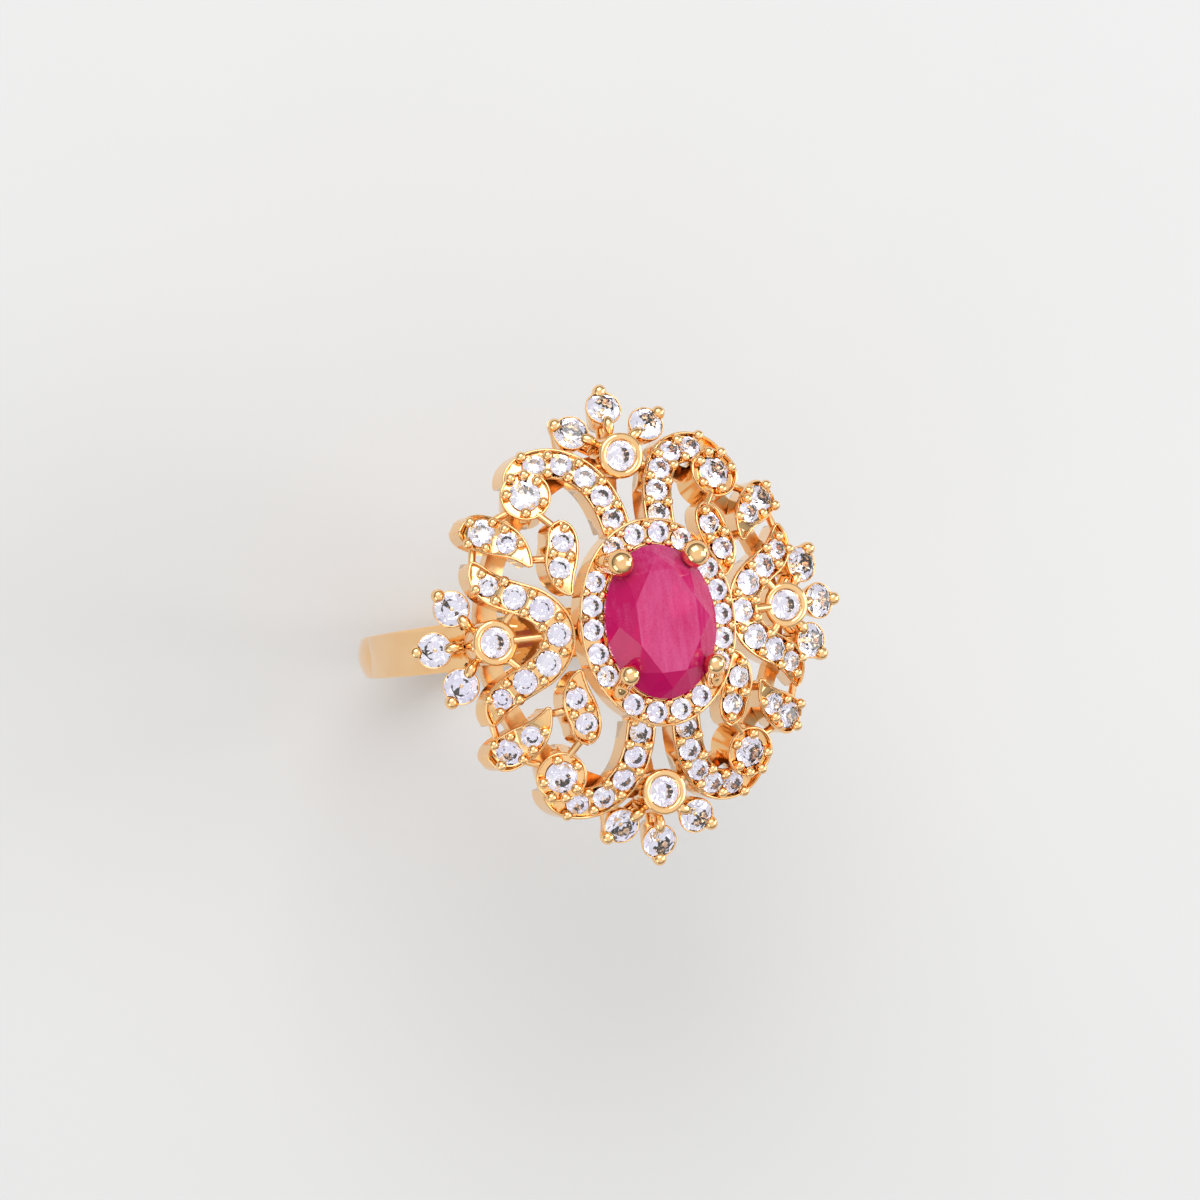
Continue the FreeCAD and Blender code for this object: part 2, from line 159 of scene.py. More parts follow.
class NodeTree:
    """A node tree with one way to make a node."""

    def __init__(self, tree: bpy.types.NodeTree) -> None:
        """Hold Blender's tree."""
        self.tree = tree

    def node(self, kind: str, settings: dict | None = None, sockets: dict | None = None) -> Made:
        """Make a node.

        Args:
            kind: Blender's node type.
            settings: Attributes, set first.
            sockets: Values or wires by input name or index.

        Returns:
            The node, indexed by output name.
        """
        node = self.tree.nodes.new(kind)
        for key, value in (settings or {}).items():
            setattr(node, key, value)
        for key, value in (sockets or {}).items():
            if isinstance(value, Wire):
                self.tree.links.new(value.socket, node.inputs[key])
            else:
                node.inputs[key].default_value = value
        return Made(self, node)


class ShaderTree(NodeTree):
    """The node tree of a material or a world."""

    def __init__(self, owner: bpy.types.Material | bpy.types.World) -> None:
        """Start with an empty tree.

        Args:
            owner: New material or world that the tree belongs to.
        """
        owner.use_nodes = True
        super().__init__(owner.node_tree)
        self.owner = owner
        self.tree.nodes.clear()

    def noise(self, scale: float, detail: float = 3.0, stretch: Sequence[float] = (1, 1, 1)) -> Wire:
        """Noise on object coordinates.

        Args:
            scale: Cells per metre.
            detail: Octaves.
            stretch: Factor on the coordinates, per axis.

        Returns:
            Noise about 0.5.
        """
        at = self.node("ShaderNodeTexCoord")["Object"]
        mapped = self.node("ShaderNodeMapping", {}, {"Vector": at, "Scale": tuple(stretch)})["Vector"]
        sockets = {"Vector": mapped, "Scale": scale, "Detail": detail}
        return self.node("ShaderNodeTexNoise", {}, sockets)["Fac"]

    def attribute(self, name: str) -> Wire:
        """Value of a mesh attribute."""
        return self.node("ShaderNodeAttribute", {"attribute_name": name})["Fac"]

    def mix(self, mask: Wire, low: Sequence[float], high: Sequence[float]) -> Wire:
        """Colour mixed by a mask, from the low colour at 0 to the high one at 1."""
        sockets = {0: mask, 6: (*low, 1.0), 7: (*high, 1.0)}
        return self.node("ShaderNodeMix", {"data_type": "RGBA"}, sockets)[2]

    def bump(self, height: Wire, strength: float, distance: float) -> Wire:
        """Normal raised by a height."""
        sockets = {"Height": height, "Strength": strength, "Distance": distance}
        return self.node("ShaderNodeBump", {}, sockets)["Normal"]

    def finish(self, **sockets: object) -> bpy.types.Material:
        """Close the tree with a Principled surface.

        Args:
            **sockets: Values or wires by the surface's input name.

        Returns:
            The finished material.
        """
        surface = self.node("ShaderNodeBsdfPrincipled", {}, sockets)["BSDF"]
        self.node("ShaderNodeOutputMaterial", {}, {"Surface": surface})
        return self.owner


def new_material(name: str) -> ShaderTree:
    """Empty tree of a new material."""
    return ShaderTree(bpy.data.materials.new(name))


@dataclass(frozen=True)
class GoldFinish:
    """Yellow gold plating: colour, polish and how rough the casting under it is."""

    name: str
    colour: tuple[float, float, float] = (1.0, 0.66, 0.33)
    warm: tuple[float, float, float] = (0.96, 0.54, 0.22)
    warm_gain: float = 1.6
    warm_from: float = 0.45
    roughness: float = 0.07
    roughness_spread: float = 0.07
    patch_scale: float = 420.0
    cast_scale: float = 2600.0
    cast_depth: float = 0.14
    scratch_scale: float = 2400.0
    scratch_stretch: tuple[float, float, float] = (1.0, 9.0, 1.0)
    scratch_depth: float = 0.04
    bump_strength: float = 0.35
    bump_distance: float = 0.03 * MM

    def build(self) -> bpy.types.Material:
        """Build the material.

        Returns:
            The material, with warmer patches and a fine cast grain.
        """
        tree = new_material(self.name)
        patches = tree.noise(self.patch_scale, 2.0)
        cast = tree.noise(self.cast_scale, 4.0)
        scratch = tree.noise(self.scratch_scale, 2.0, self.scratch_stretch)
        colour = tree.mix((patches * self.warm_gain - self.warm_from).clamped(), self.colour, self.warm)
        roughness = self.roughness + self.roughness_spread * (patches * 0.5 + cast * 0.5)
        height = cast * self.cast_depth + scratch * self.scratch_depth
        normal = tree.bump(height, self.bump_strength, self.bump_distance)
        return tree.finish(**{
            "Base Color": colour, "Metallic": 1.0, "Roughness": roughness, "Normal": normal})


@dataclass(frozen=True)
class WhiteStoneFinish:
    """Colourless cut stone with a faint lilac cast."""

    name: str = "white_stone_cut"
    clear: tuple[float, float, float] = (1.0, 1.0, 1.0)
    tint: tuple[float, float, float] = (0.90, 0.88, 0.98)
    tint_scale: float = 900.0
    roughness: float = 0.015
    back_roughness: float = 0.03
    ior: float = 1.9

    def build(self) -> bpy.types.Material:
        """Build the material.

        Returns:
            A clear crown over facets that send the light back.
        """
        tree = new_material(self.name)
        back = tree.attribute("back")
        return tree.finish(**{
            "Base Color": tree.mix(tree.noise(self.tint_scale, 1.0), self.clear, self.tint),
            "Metallic": back, "Roughness": self.roughness + self.back_roughness * back,
            "IOR": self.ior, "Transmission Weight": 1.0})


@dataclass(frozen=True)
class RubyFinish:
    """Milky ruby with silk streaks, with painted light on its facets: north and east facets are painted paler
    and south and west ones deeper.
    """

    name: str = "ruby_cut"
    deep: tuple[float, float, float] = (0.64, 0.003, 0.135)
    milky: tuple[float, float, float] = (0.78, 0.10, 0.30)
    cloud_scale: float = 330.0
    silk_scale: float = 3600.0
    silk_stretch: tuple[float, float, float] = (1.0, 0.16, 1.0)
    silk_share: float = 1.3
    speck_scale: float = 9000.0
    speck_share: float = 0.7
    mask_from: float = 1.5
    roughness: float = 0.02
    silk_roughness: float = 0.05
    ior: float = 1.77
    clearness: float = 0.30
    gloss: float = 0.06

    def build(self) -> bpy.types.Material:
        """Build the material.

        Returns:
            Part clear, part milky stone over facets that send the light back.
        """
        tree = new_material(self.name)
        silk = tree.noise(self.silk_scale, 5.0, self.silk_stretch)
        cloud = tree.noise(self.cloud_scale, 2.0)
        specks = tree.noise(self.speck_scale, 2.0)
        # Painted light: the facet tone makes facets facing north and east paler and those facing south and
        # west deeper, plus a random step per facet. Cloud, silk and specks are the stone's own.
        milk_and_painted_light = tree.attribute("tone") + cloud + silk * self.silk_share + specks * self.speck_share
        return tree.finish(**{
            "Base Color": tree.mix((milk_and_painted_light - self.mask_from).clamped(), self.deep, self.milky),
            "Metallic": tree.attribute("back"), "Roughness": self.roughness + self.silk_roughness * silk,
            "IOR": self.ior, "Transmission Weight": self.clearness, "Specular IOR Level": self.gloss})


# ---------------------------------------------------------------------------------------------
# Geometry Nodes
# ---------------------------------------------------------------------------------------------


class NodeRecipe(NodeTree):
    """A Geometry Nodes tree with named inputs, applied to a mesh and turned back into one."""

    def __init__(self, name: str, inputs: dict[str, str]) -> None:
        """Start a tree.

        Args:
            name: Name of the tree.
            inputs: Socket types of the named inputs after the geometry.
        """
        super().__init__(bpy.data.node_groups.new(name, "GeometryNodeTree"))
        face = self.tree.interface
        face.new_socket("Geometry", in_out="INPUT", socket_type="NodeSocketGeometry")
        face.new_socket("Geometry", in_out="OUTPUT", socket_type="NodeSocketGeometry")
        self.keys = {}
        for key, kind in inputs.items():
            self.keys[key] = face.new_socket(key, in_out="INPUT", socket_type=kind).identifier
        self.source = self.node("NodeGroupInput")

    def attribute(self, name: str, kind: str) -> Wire:
        """Output of a named attribute of the points."""
        settings, sockets = {"data_type": kind}, {"Name": name}
        return self.node("GeometryNodeInputNamedAttribute", settings, sockets)["Attribute"]

    def upright(self) -> Wire:
        """Rotation that brings Z onto each point's own upward direction."""
        up = self.attribute("up", "FLOAT_VECTOR")
        return self.node("FunctionNodeAlignRotationToVector", {"axis": "Z"}, {"Vector": up})["Rotation"]

    def close(self, geometry: Wire, smooth: bool) -> None:
        """Realize, shade and dress the geometry, and end the tree.

        Args:
            geometry: Output to finish.
            smooth: Whether the faces are shaded smooth.
        """
        real = self.node("GeometryNodeRealizeInstances", {}, {"Geometry": geometry})[0]
        shade = self.node("GeometryNodeSetShadeSmooth", {}, {"Geometry": real, "Shade Smooth": smooth})[0]
        sockets = {"Geometry": shade, "Material": self.source["Material"]}
        dressed = self.node("GeometryNodeSetMaterial", {}, sockets)[0]
        self.node("NodeGroupOutput", {}, {0: dressed})

    def apply(self, name: str, mesh: bpy.types.Mesh, material: bpy.types.Material,
              **values: object) -> bpy.types.Object:
        """Run the tree on a mesh.

        Args:
            name: Name of the finished object.
            mesh: Points or edges that the tree works on.
            material: Finish of the result.
            **values: Values by the input's name.

        Returns:
            An object with a plain mesh and no modifier.
        """
        seed = bpy.data.objects.new(name + "_seed", mesh)
        bpy.context.scene.collection.objects.link(seed)
        modifier = seed.modifiers.new("recipe", "NODES")
        modifier.node_group = self.tree
        modifier[self.keys["Material"]] = material
        for key, value in values.items():
            modifier[self.keys[key]] = value
        bpy.context.view_layer.update()
        result = plain_copy(name, seed)
        bpy.data.objects.remove(seed)
        return result


def plain_copy(name: str, source: bpy.types.Object) -> bpy.types.Object:
    """Plain mesh object from an object with modifiers.

    Args:
        name: Name of the new object and its mesh.
        source: Object whose modifiers are applied.

    Returns:
        The new object.
    """
    graph = bpy.context.evaluated_depsgraph_get()
    mesh = bpy.data.meshes.new_from_object(source.evaluated_get(graph), depsgraph=graph)
    mesh.name = name
    result = bpy.data.objects.new(name, mesh)
    bpy.context.scene.collection.objects.link(result)
    return result


def grain_recipe() -> NodeRecipe:
    """Round metal grains on points, sized and turned by the points' own attributes.

    Returns:
        The recipe.
    """
    recipe = NodeRecipe("grains", {
        "Material": "NodeSocketMaterial", "Segments": "NodeSocketInt", "Rings": "NodeSocketInt"})
    source = recipe.source
    ball = recipe.node("GeometryNodeMeshUVSphere", {}, {
        "Segments": source["Segments"], "Rings": source["Rings"], "Radius": 1.0})["Mesh"]
    placed = recipe.node("GeometryNodeInstanceOnPoints", {}, {
        "Points": source["Geometry"], "Instance": ball, "Rotation": recipe.upright(),
        "Scale": recipe.attribute("size", "FLOAT")})[0]
    recipe.close(placed, True)
    return recipe


def stone_recipe() -> NodeRecipe:
    """Cut stones on points, turned differently from one to the next.

    Returns:
        The recipe.
    """
    recipe = NodeRecipe("stones", {
        "Material": "NodeSocketMaterial", "Gem": "NodeSocketObject", "Seed": "NodeSocketInt"})
    source = recipe.source
    gem = recipe.node("GeometryNodeObjectInfo", {"transform_space": "ORIGINAL"}, {"Object": source["Gem"]})
    turn = recipe.node("FunctionNodeRandomValue", {"data_type": "FLOAT"}, {
        "Min": 0.0, "Max": math.tau, "Seed": source["Seed"]})[1]
    spin = recipe.node("ShaderNodeCombineXYZ", {}, {"Z": turn})[0]
    about = recipe.node("FunctionNodeEulerToRotation", {}, {0: spin})[0]
    both = recipe.node("FunctionNodeRotateRotation", {"rotation_space": "LOCAL"}, {
        0: recipe.upright(), 1: about})[0]
    placed = recipe.node("GeometryNodeInstanceOnPoints", {}, {
        "Points": source["Geometry"], "Instance": gem["Geometry"], "Rotation": both,
        "Scale": recipe.attribute("size", "FLOAT")})[0]
    recipe.close(placed, False)
    return recipe


def wire_recipe() -> NodeRecipe:
    """Upright wire along the edges of a mesh, taller than wide by a factor.

    Returns:
        The recipe.
    """
    recipe = NodeRecipe("wires", {
        "Material": "NodeSocketMaterial", "Radius": "NodeSocketFloat", "Height": "NodeSocketFloat",
        "Step": "NodeSocketFloat", "Sides": "NodeSocketInt"})
    source = recipe.source
    line = recipe.node("GeometryNodeMeshToCurve", {}, {"Mesh": source["Geometry"]})[0]
    even = recipe.node("GeometryNodeResampleCurve", {"mode": "LENGTH"}, {
        "Curve": line, "Length": source["Step"]})[0]
    ring = recipe.node("GeometryNodeCurvePrimitiveCircle", {"mode": "RADIUS"}, {
        "Resolution": source["Sides"], "Radius": source["Radius"]})[0]
    upright = recipe.node("GeometryNodeSetCurveNormal", {"mode": "Z_UP"}, {"Curve": even})[0]
    tall = recipe.node("ShaderNodeCombineXYZ", {}, {"X": 1.0, "Y": source["Height"], "Z": 1.0})[0]
    shape = recipe.node("GeometryNodeTransform", {}, {"Geometry": ring, "Scale": tall})[0]
    tube = recipe.node("GeometryNodeCurveToMesh", {}, {
        "Curve": upright, "Profile Curve": shape, "Fill Caps": True})[0]
    recipe.close(tube, True)
    return recipe


# ---------------------------------------------------------------------------------------------
# Reading the frame
# ---------------------------------------------------------------------------------------------


@dataclass
class Site:
    """A stone's place: centre of its girdle, upward axis and radius."""

    centre: Vector
    up: Vector
    radius: float

    def in_seat(self, point: Vector, play: float) -> bool:
        """Whether a point lies on or inside the stone's seat, seen along its axis."""
        away = point - self.centre
        return (away - self.up * away.dot(self.up)).length < self.radius + play


def welded(name: str) -> bmesh.types.BMesh:
    """Merged copy of a CAD node's mesh.

    Args:
        name: The node.

    Returns:
        A mesh that the caller frees.
    """
    mesh = bmesh.new()
    mesh.from_mesh(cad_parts[name].data)
    bmesh.ops.remove_doubles(mesh, verts=mesh.verts, dist=MERGE)
    return mesh


def islands(mesh: bmesh.types.BMesh) -> list[list[bmesh.types.BMFace]]:
    """Faces of each connected piece of a mesh.

    Args:
        mesh: Mesh of one or more pieces.

    Returns:
        One list of faces per piece.
    """
    seen, groups = set(), []
    for start in mesh.faces:
        if start in seen:
            continue
        group, queue = [], [start]
        seen.add(start)
        while queue:
            face = queue.pop()
            group.append(face)
            for edge in face.edges:
                for other in edge.link_faces:
                    if other not in seen:
                        seen.add(other)
                        queue.append(other)
        groups.append(group)
    return groups


def site_of(faces: list[bmesh.types.BMFace], widest: float = 0.98) -> Site:
    """Place of one stone, from its table, the largest flat face, and its widest section.

    Args:
        faces: Faces of the stone.
        widest: Share of the radius from which a point counts as on the girdle.

    Returns:
        The stone's place.
    """
    areas, middles = defaultdict(float), defaultdict(Vector)
    for face in faces:
        key = tuple(round(c, 2) for c in face.normal)
        areas[key] += face.calc_area()
        middles[key] += face.calc_center_median() * face.calc_area()
    key = max(areas, key=areas.get)
    up, table = Vector(key).normalized(), middles[key] / areas[key]
    points = list(dict.fromkeys(v for face in faces for v in face.verts))
    reach = [((v.co - table) - up * (v.co - table).dot(up)).length for v in points]
    radius = max(reach)
    levels = [(v.co - table).dot(up) for v, r in zip(points, reach) if r > widest * radius]
    return Site(table + up * (sum(levels) / len(levels)), up, radius)


def sites_in(node: str) -> list[Site]:
    """Places of all stones in a CAD node.

    Args:
        node: Node that holds stones only.

    Returns:
        One place per stone.
    """
    mesh = welded(node)
    found = [site_of(group) for group in islands(mesh)]
    mesh.free()
    return found


def chained(sites: list[Site], start: Vector) -> list[Site]:
    """Stones in order along a strip.

    Args:
        sites: The strip's stones.
        start: Point near the first one.

    Returns:
        The stones, each followed by the nearest one that is left.
    """
    left, chain, at = list(sites), [], start
    while left:
        nearest = min(left, key=lambda s: (s.centre - at).length)
        left.remove(nearest)
        chain.append(nearest)
        at = nearest.centre
    return chain


# ---------------------------------------------------------------------------------------------
# Meshes
# ---------------------------------------------------------------------------------------------


@dataclass
class Workshop:
    """Finishes and recipes that all sub-assemblies share, and the way a piece joins the ring."""

    polished: bpy.types.Material
    bright: bpy.types.Material
    cast: bpy.types.Material
    white: bpy.types.Material
    ruby: bpy.types.Material
    grains: NodeRecipe
    stones: NodeRecipe
    wires: NodeRecipe
    gem: bpy.types.Object
    stone_fit: float = 1.03
    count: int = 0

    def fit(self, piece: bpy.types.Object, slot: Slot, *nodes: str) -> None:
        """Ride a piece on the ring and let it stand for CAD nodes.

        Args:
            piece: Finished mesh object.
            slot: Finish slot of the record; not used.
            *nodes: Nodes that the piece replaces, if any.
        """
        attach(piece, BODY)
        if nodes:
            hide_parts(*nodes)
        self.count += 1
        LOG.info("%s: %d faces", piece.name, len(piece.data.polygons))

    def set_stones(self, node: str, sites: Sequence[Site]) -> None:
        """Set cut stones on their sites, in place of a CAD node.

        Args:
            node: Node of the stones.
            sites: Their places.
        """
        points = point_mesh(node + "_sites", [(s.centre, s.up, s.radius * self.stone_fit) for s in sites])
        piece = self.stones.apply(node + "_cut", points, self.white, Gem=self.gem, Seed=len(node))
        self.fit(piece, Slot.WHITE, node)

    def set_grains(self, name: str, grains: Sequence[Grain], segments: int = 14) -> None:
        """Set round metal grains.

        Args:
            name: Name of the piece.
            grains: Centre, upward direction and radius of each.
            segments: Points round a grain.
        """
        points = point_mesh(name + "_points", grains)
        rings = segments * 5 // 8
        piece = self.grains.apply(name, points, self.polished, Segments=segments, Rings=rings)
        self.fit(piece, Slot.GOLD)

    def run_wires(self, name: str, mesh: bpy.types.Mesh, radius: float, height: float,
                  step: float = 0.12 * MM, sides: int = 10) -> None:
        """Run an upright wire along the edges of a mesh.

        Args:
            name: Name of the piece.
            mesh: Mesh of edges.
            radius: Half width of the wire.
            height: The wire's height as a multiple of its width.
            step: Distance between its sections.
            sides: Points round a section.
        """
        piece = self.wires.apply(name, mesh, self.bright, Radius=radius, Height=height, Step=step,
                                 Sides=sides)
        self.fit(piece, Slot.GOLD)


def point_mesh(name: str, points: Sequence[Grain]) -> bpy.types.Mesh:
    """Mesh of loose points with an up direction and a size each.

    Args:
        name: Name of the mesh.
        points: Place, upward direction and size of each.

    Returns:
        The mesh.
    """
    mesh = bpy.data.meshes.new(name)
    mesh.from_pydata([p[0] for p in points], [], [])
    up = mesh.attributes.new("up", "FLOAT_VECTOR", "POINT")
    up.data.foreach_set("vector", [c for p in points for c in p[1]])
    size = mesh.attributes.new("size", "FLOAT", "POINT")
    size.data.foreach_set("value", [p[2] for p in points])
    return mesh


def mesh_object(name: str, verts: Sequence[Vector], faces: Sequence[Sequence[int]],
                material: bpy.types.Material, smooth: bool = True, weld: float = 1e-8) -> bpy.types.Object:
    """Mesh object from points and faces, with outward normals.

    Args:
        name: Name of the object and its mesh.
        verts: Points.
        faces: Faces, as point indices.
        material: Finish.
        smooth: Whether the faces are shaded smooth.
        weld: Points nearer than this become one.

    Returns:
        The object.
    """
    mesh = bpy.data.meshes.new(name)
    mesh.from_pydata([tuple(v) for v in verts], [], [tuple(f) for f in faces])
    work = bmesh.new()
    work.from_mesh(mesh)
    bmesh.ops.remove_doubles(work, verts=work.verts, dist=weld)
    bmesh.ops.recalc_face_normals(work, faces=work.faces)
    for face in work.faces:
        face.smooth = smooth
    work.to_mesh(mesh)
    work.free()
    mesh.materials.append(material)
    result = bpy.data.objects.new(name, mesh)
    bpy.context.scene.collection.objects.link(result)
    return result


def joined(name: str, pieces: Sequence[bpy.types.Object]) -> bpy.types.Object:
    """One object from several.

    Args:
        name: Name of the result.
        pieces: Objects to join; all but the first are used up.

    Returns:
        The joined object.
    """
    with bpy.context.temp_override(active_object=pieces[0], selected_editable_objects=list(pieces)):
        bpy.ops.object.join()
    pieces[0].name = name
    pieces[0].data.name = name
    return pieces[0]


def closed_faces(steps: int, count: int) -> list[tuple[int, int, int, int]]:
    """Faces of a loop of sections, from the number of sections and of points in each."""
    pairs = [(i, (i + 1) % steps, j, (j + 1) % count) for i in range(steps) for j in range(count)]
    return [(i * count + j, k * count + j, k * count + m, i * count + m) for i, k, j, m in pairs]


def lathe(name: str, profile: Sequence[Place], centre: Vector, up: Vector,
          material: bpy.types.Material, steps: int = 48) -> bpy.types.Object:
    """Closed solid of revolution.

    Args:
        name: Name of the object.
        profile: Closed section, as radius and height above the centre.
        centre: Point on the axis.
        up: Direction of the axis.
        material: Finish.
        steps: Sections round the axis.

    Returns:
        The solid.
    """
    turn = up.to_track_quat("Z", "Y").to_matrix()
    verts = []
    for i in range(steps):
        angle = math.tau * i / steps
        for radius, height in profile:
            verts.append(centre + turn @ Vector((radius * math.cos(angle), radius * math.sin(angle), height)))
    return mesh_object(name, verts, closed_faces(steps, len(profile)), material)


def brilliant_points(table: tuple[float, float], mid: tuple[float, float], girdle: tuple[float, float],
                     heights: tuple[float, float, float, float, float], turn: float = 0.0,
                     pavilion_share: float = 0.26) -> tuple[list[Vector], list[list[int]]]:
    """Points and facets of a brilliant cut.

    Args:
        table: Half axes of the table.
        mid: Half axes of the ring where star and kite facets meet.
        girdle: Half axes of the girdle.
        heights: Of the table, the mid ring, the girdle's top and bottom, and the culet.
        turn: Angle that all facets are turned by about the axis.
        pavilion_share: Reach of the pavilion mains' lower ends, as a share of the girdle.

    Returns:
        Points, and facets as point indices.
    """
    top_z, mid_z, high_z, low_z, culet_z = heights
    rim = 4 * MAINS
    verts: list[Vector] = []

    def ring(axes: tuple[float, float], z: float, count: int, shift: float) -> list[int]:
        """Add a ring of points.

        Args:
            axes: Half axes of the ring.
            z: Its height.
            count: Number of points.
            shift: Turn of the first point, in steps between points.

        Returns:
            The points' indices.
        """
        first = len(verts)
        for i in range(count):
            angle = turn + math.tau * (i + shift) / count
            verts.append(Vector((axes[0] * math.cos(angle), axes[1] * math.sin(angle), z)))
        return list(range(first, first + count))

    table_ring = ring(table, top_z, MAINS, 0.0)
    mid_ring = ring(mid, mid_z, MAINS, 0.5)
    upper, lower = ring(girdle, high_z, rim, 0.0), ring(girdle, low_z, rim, 0.0)
    pavilion_z = culet_z + (low_z - culet_z) * pavilion_share * math.cos(math.pi / MAINS)
    inner = ring((girdle[0] * pavilion_share, girdle[1] * pavilion_share), pavilion_z, MAINS, 0.5)
    verts.append(Vector((0, 0, culet_z)))
    culet = len(verts) - 1
    faces = [list(table_ring)]
    for k in range(MAINS):
        after, before = (k + 1) % MAINS, (k - 1) % MAINS
        faces.append([table_ring[k], mid_ring[k], table_ring[after]])
        faces.append([table_ring[k], mid_ring[before], upper[4 * k], mid_ring[k]])
        faces.append([culet, inner[k], lower[4 * k], inner[before]])
        for edge, point in ((upper, mid_ring[k]), (lower, inner[k])):
            arc = [edge[(4 * k + i) % rim] for i in range(5)]
            faces.append([point] + arc[:3])
            faces.append([point] + arc[2:])
    for i in range(rim):
        after = (i + 1) % rim
        faces.append([upper[i], upper[after], lower[after], lower[i]])
    return verts, faces


def mark_back(piece: bpy.types.Object, below: float) -> None:
    """Mark the facets whose middle lies below a height, for the finishes."""
    back = piece.data.attributes.new("back", "FLOAT", "FACE")
    back.data.foreach_set("value", [float(face.center.z < below) for face in piece.data.polygons])


@dataclass
class Brilliant:
    """Round brilliant of radius 1 with its girdle at the origin: the pattern of all white stones."""

    table: float = 0.57
    mid: float = 0.80
    crown: float = 0.34
    half_girdle: float = 0.03
    pavilion: float = 0.84
    margin: float = 0.001

    def build(self, material: bpy.types.Material) -> bpy.types.Object:
        """Cut the pattern.

        Args:
            material: Finish of the stones.

        Returns:
            An object that stands in no collection, so only its copies are seen.
        """
        kite_run = (1 - self.mid * math.cos(math.pi / MAINS)) / (1 - self.table)
        heights = (self.crown, self.crown * kite_run, self.half_girdle, -self.half_girdle, -self.pavilion)
        verts, faces = brilliant_points((self.table, self.table), (self.mid, self.mid), (1.0, 1.0), heights)
        gem = mesh_object("gem_pattern", verts, faces, material, smooth=False)
        mark_back(gem, self.half_girdle + self.margin)
        bpy.context.scene.collection.objects.unlink(gem)
        return gem


@dataclass
class CadCopy:
    """A CAD node's shape, welded, with its sharp edges broken."""

    node: str
    edge: float = 0.06 * MM
    segments: int = 2
    sharp: float = math.radians(32)
    flat: float = math.radians(1.0)
    sink: float = 0.0

    def build(self, material: bpy.types.Material) -> bpy.types.Object:
        """Make the piece.

        Args:
            material: Finish of the piece.

        Returns:
            Plain mesh object that can stand for the node.
        """
        work = welded(self.node)
        for vert in work.verts:
            if any(face.normal.z > UPWARD for face in vert.link_faces):
                vert.co.z -= self.sink
        bmesh.ops.dissolve_limit(work, angle_limit=self.flat, verts=work.verts, edges=work.edges)
        mesh = bpy.data.meshes.new(self.node)
        work.to_mesh(mesh)
        work.free()
        mesh.materials.append(material)
        source = bpy.data.objects.new(self.node + "_source", mesh)
        bpy.context.scene.collection.objects.link(source)
        bevel = source.modifiers.new("edge", "BEVEL")
        bevel.limit_method, bevel.angle_limit = "ANGLE", self.sharp
        bevel.width, bevel.segments = self.edge, self.segments
        bpy.context.view_layer.update()
        result = plain_copy(self.node + "_metal", source)
        bpy.data.objects.remove(source)
        result.data.shade_smooth()
        result.data.set_sharp_from_angle(angle=self.sharp)
        return result


def top_outline(node: str, sites: Sequence[Site], play: float = 0.04 * MM) -> bpy.types.Mesh:
    """Edges between a strip's top and its sides, without the rims of its seats.

    Args:
        node: CAD node of the strip.
        sites: Stones set in it.
        play: Room round a stone that still counts as its seat.

    Returns:
        Mesh of edges only.
    """
    work = welded(node)
    verts: dict[int, int] = {}
    points, edges = [], []
    for edge in work.edges:
        if len(edge.link_faces) != 2:
            continue
        side, top = sorted(edge.link_faces, key=lambda face: face.normal.z)
        if side.normal.z > UPWARD or top.normal.z < UPWARD or top.calc_area() < SLIVER:
            continue
        middle = (edge.verts[0].co + edge.verts[1].co) / 2
        if any(site.in_seat(middle, play) for site in sites):
            continue
        pair = []
        for vert in edge.verts:
            if vert.index not in verts:
                verts[vert.index] = len(points)
                points.append(tuple(vert.co))
            pair.append(verts[vert.index])
        edges.append(pair)
    work.free()
    mesh = bpy.data.meshes.new(node + "_outline")
    mesh.from_pydata(points, edges, [])
    return mesh


# ---------------------------------------------------------------------------------------------
# Sub-assemblies
# ---------------------------------------------------------------------------------------------


@dataclass
class Band:
    """Polished shank with a domed section, wider towards the head."""

    hole: float = 9.25 * MM
    edge_thick: float = 0.95 * MM
    back_width: float = 1.9 * MM
    outer_round: float = 0.22 * MM
    inner_round: float = 0.176 * MM
    slump: float = 0.033 * MM
    segments: int = 360
    arc_points: int = 14
    corner_steps: int = 3

    def build(self, shop: Workshop) -> None:
        """Make the band as one smooth sweep.

        Args:
            shop: Shared finishes and recipes.
        """
        low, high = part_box("shank")
        crown, half_top = high.x, high.y
        edge = self.hole + self.edge_thick
        bulge = crown - edge
        arc_radius = (half_top ** 2 + bulge ** 2) / (2 * bulge)
        verts = []
        for i in range(self.segments):
            angle = math.tau * i / self.segments
            share = (math.sin(angle) + 1) / 2
            half = self.back_width / 2 + (half_top - self.back_width / 2) * share
            section = self.section(half, crown, arc_radius)
            verts += [Vector((r * math.cos(angle), y, r * math.sin(angle))) for r, y in section]
        faces = closed_faces(self.segments, len(verts) // self.segments)
        shop.fit(mesh_object("shank_polished", verts, faces, shop.bright), Slot.GOLD, "shank")

    def section(self, half: float, crown: float, arc_radius: float) -> list[Place]:
        """Closed section with rounded corners.

        Args:
            half: Half width of the band here.
            crown: Radius at the top of the domed outer side.
            arc_radius: Radius of the dome.

        Returns:
            Points as radius from the finger's axis, and y.
        """
        outer, inner = self.outer_round, self.inner_round
        points = []
        for i in range(self.arc_points + 1):
            y = (half - outer) * (1 - 2 * i / self.arc_points)
            points.append((crown - arc_radius + math.sqrt(arc_radius ** 2 - y * y), y))
        top = points[-1][0]
        shares = [step / self.corner_steps for step in range(self.corner_steps + 1)]
        for share in shares[1:]:
            turn = math.pi / 2 * share
            fall = outer * (1 - math.cos(turn)) + self.slump * share
            points.append((top - fall, -half + outer * (1 - math.sin(turn))))
        for share in shares:
            turn = math.pi / 2 * share
            points.append((self.hole + inner * (1 - math.sin(turn)), -half + inner * (1 - math.cos(turn))))
        mirror = [(r, -y) for r, y in reversed(points[self.arc_points + 1:])]
        return points + mirror


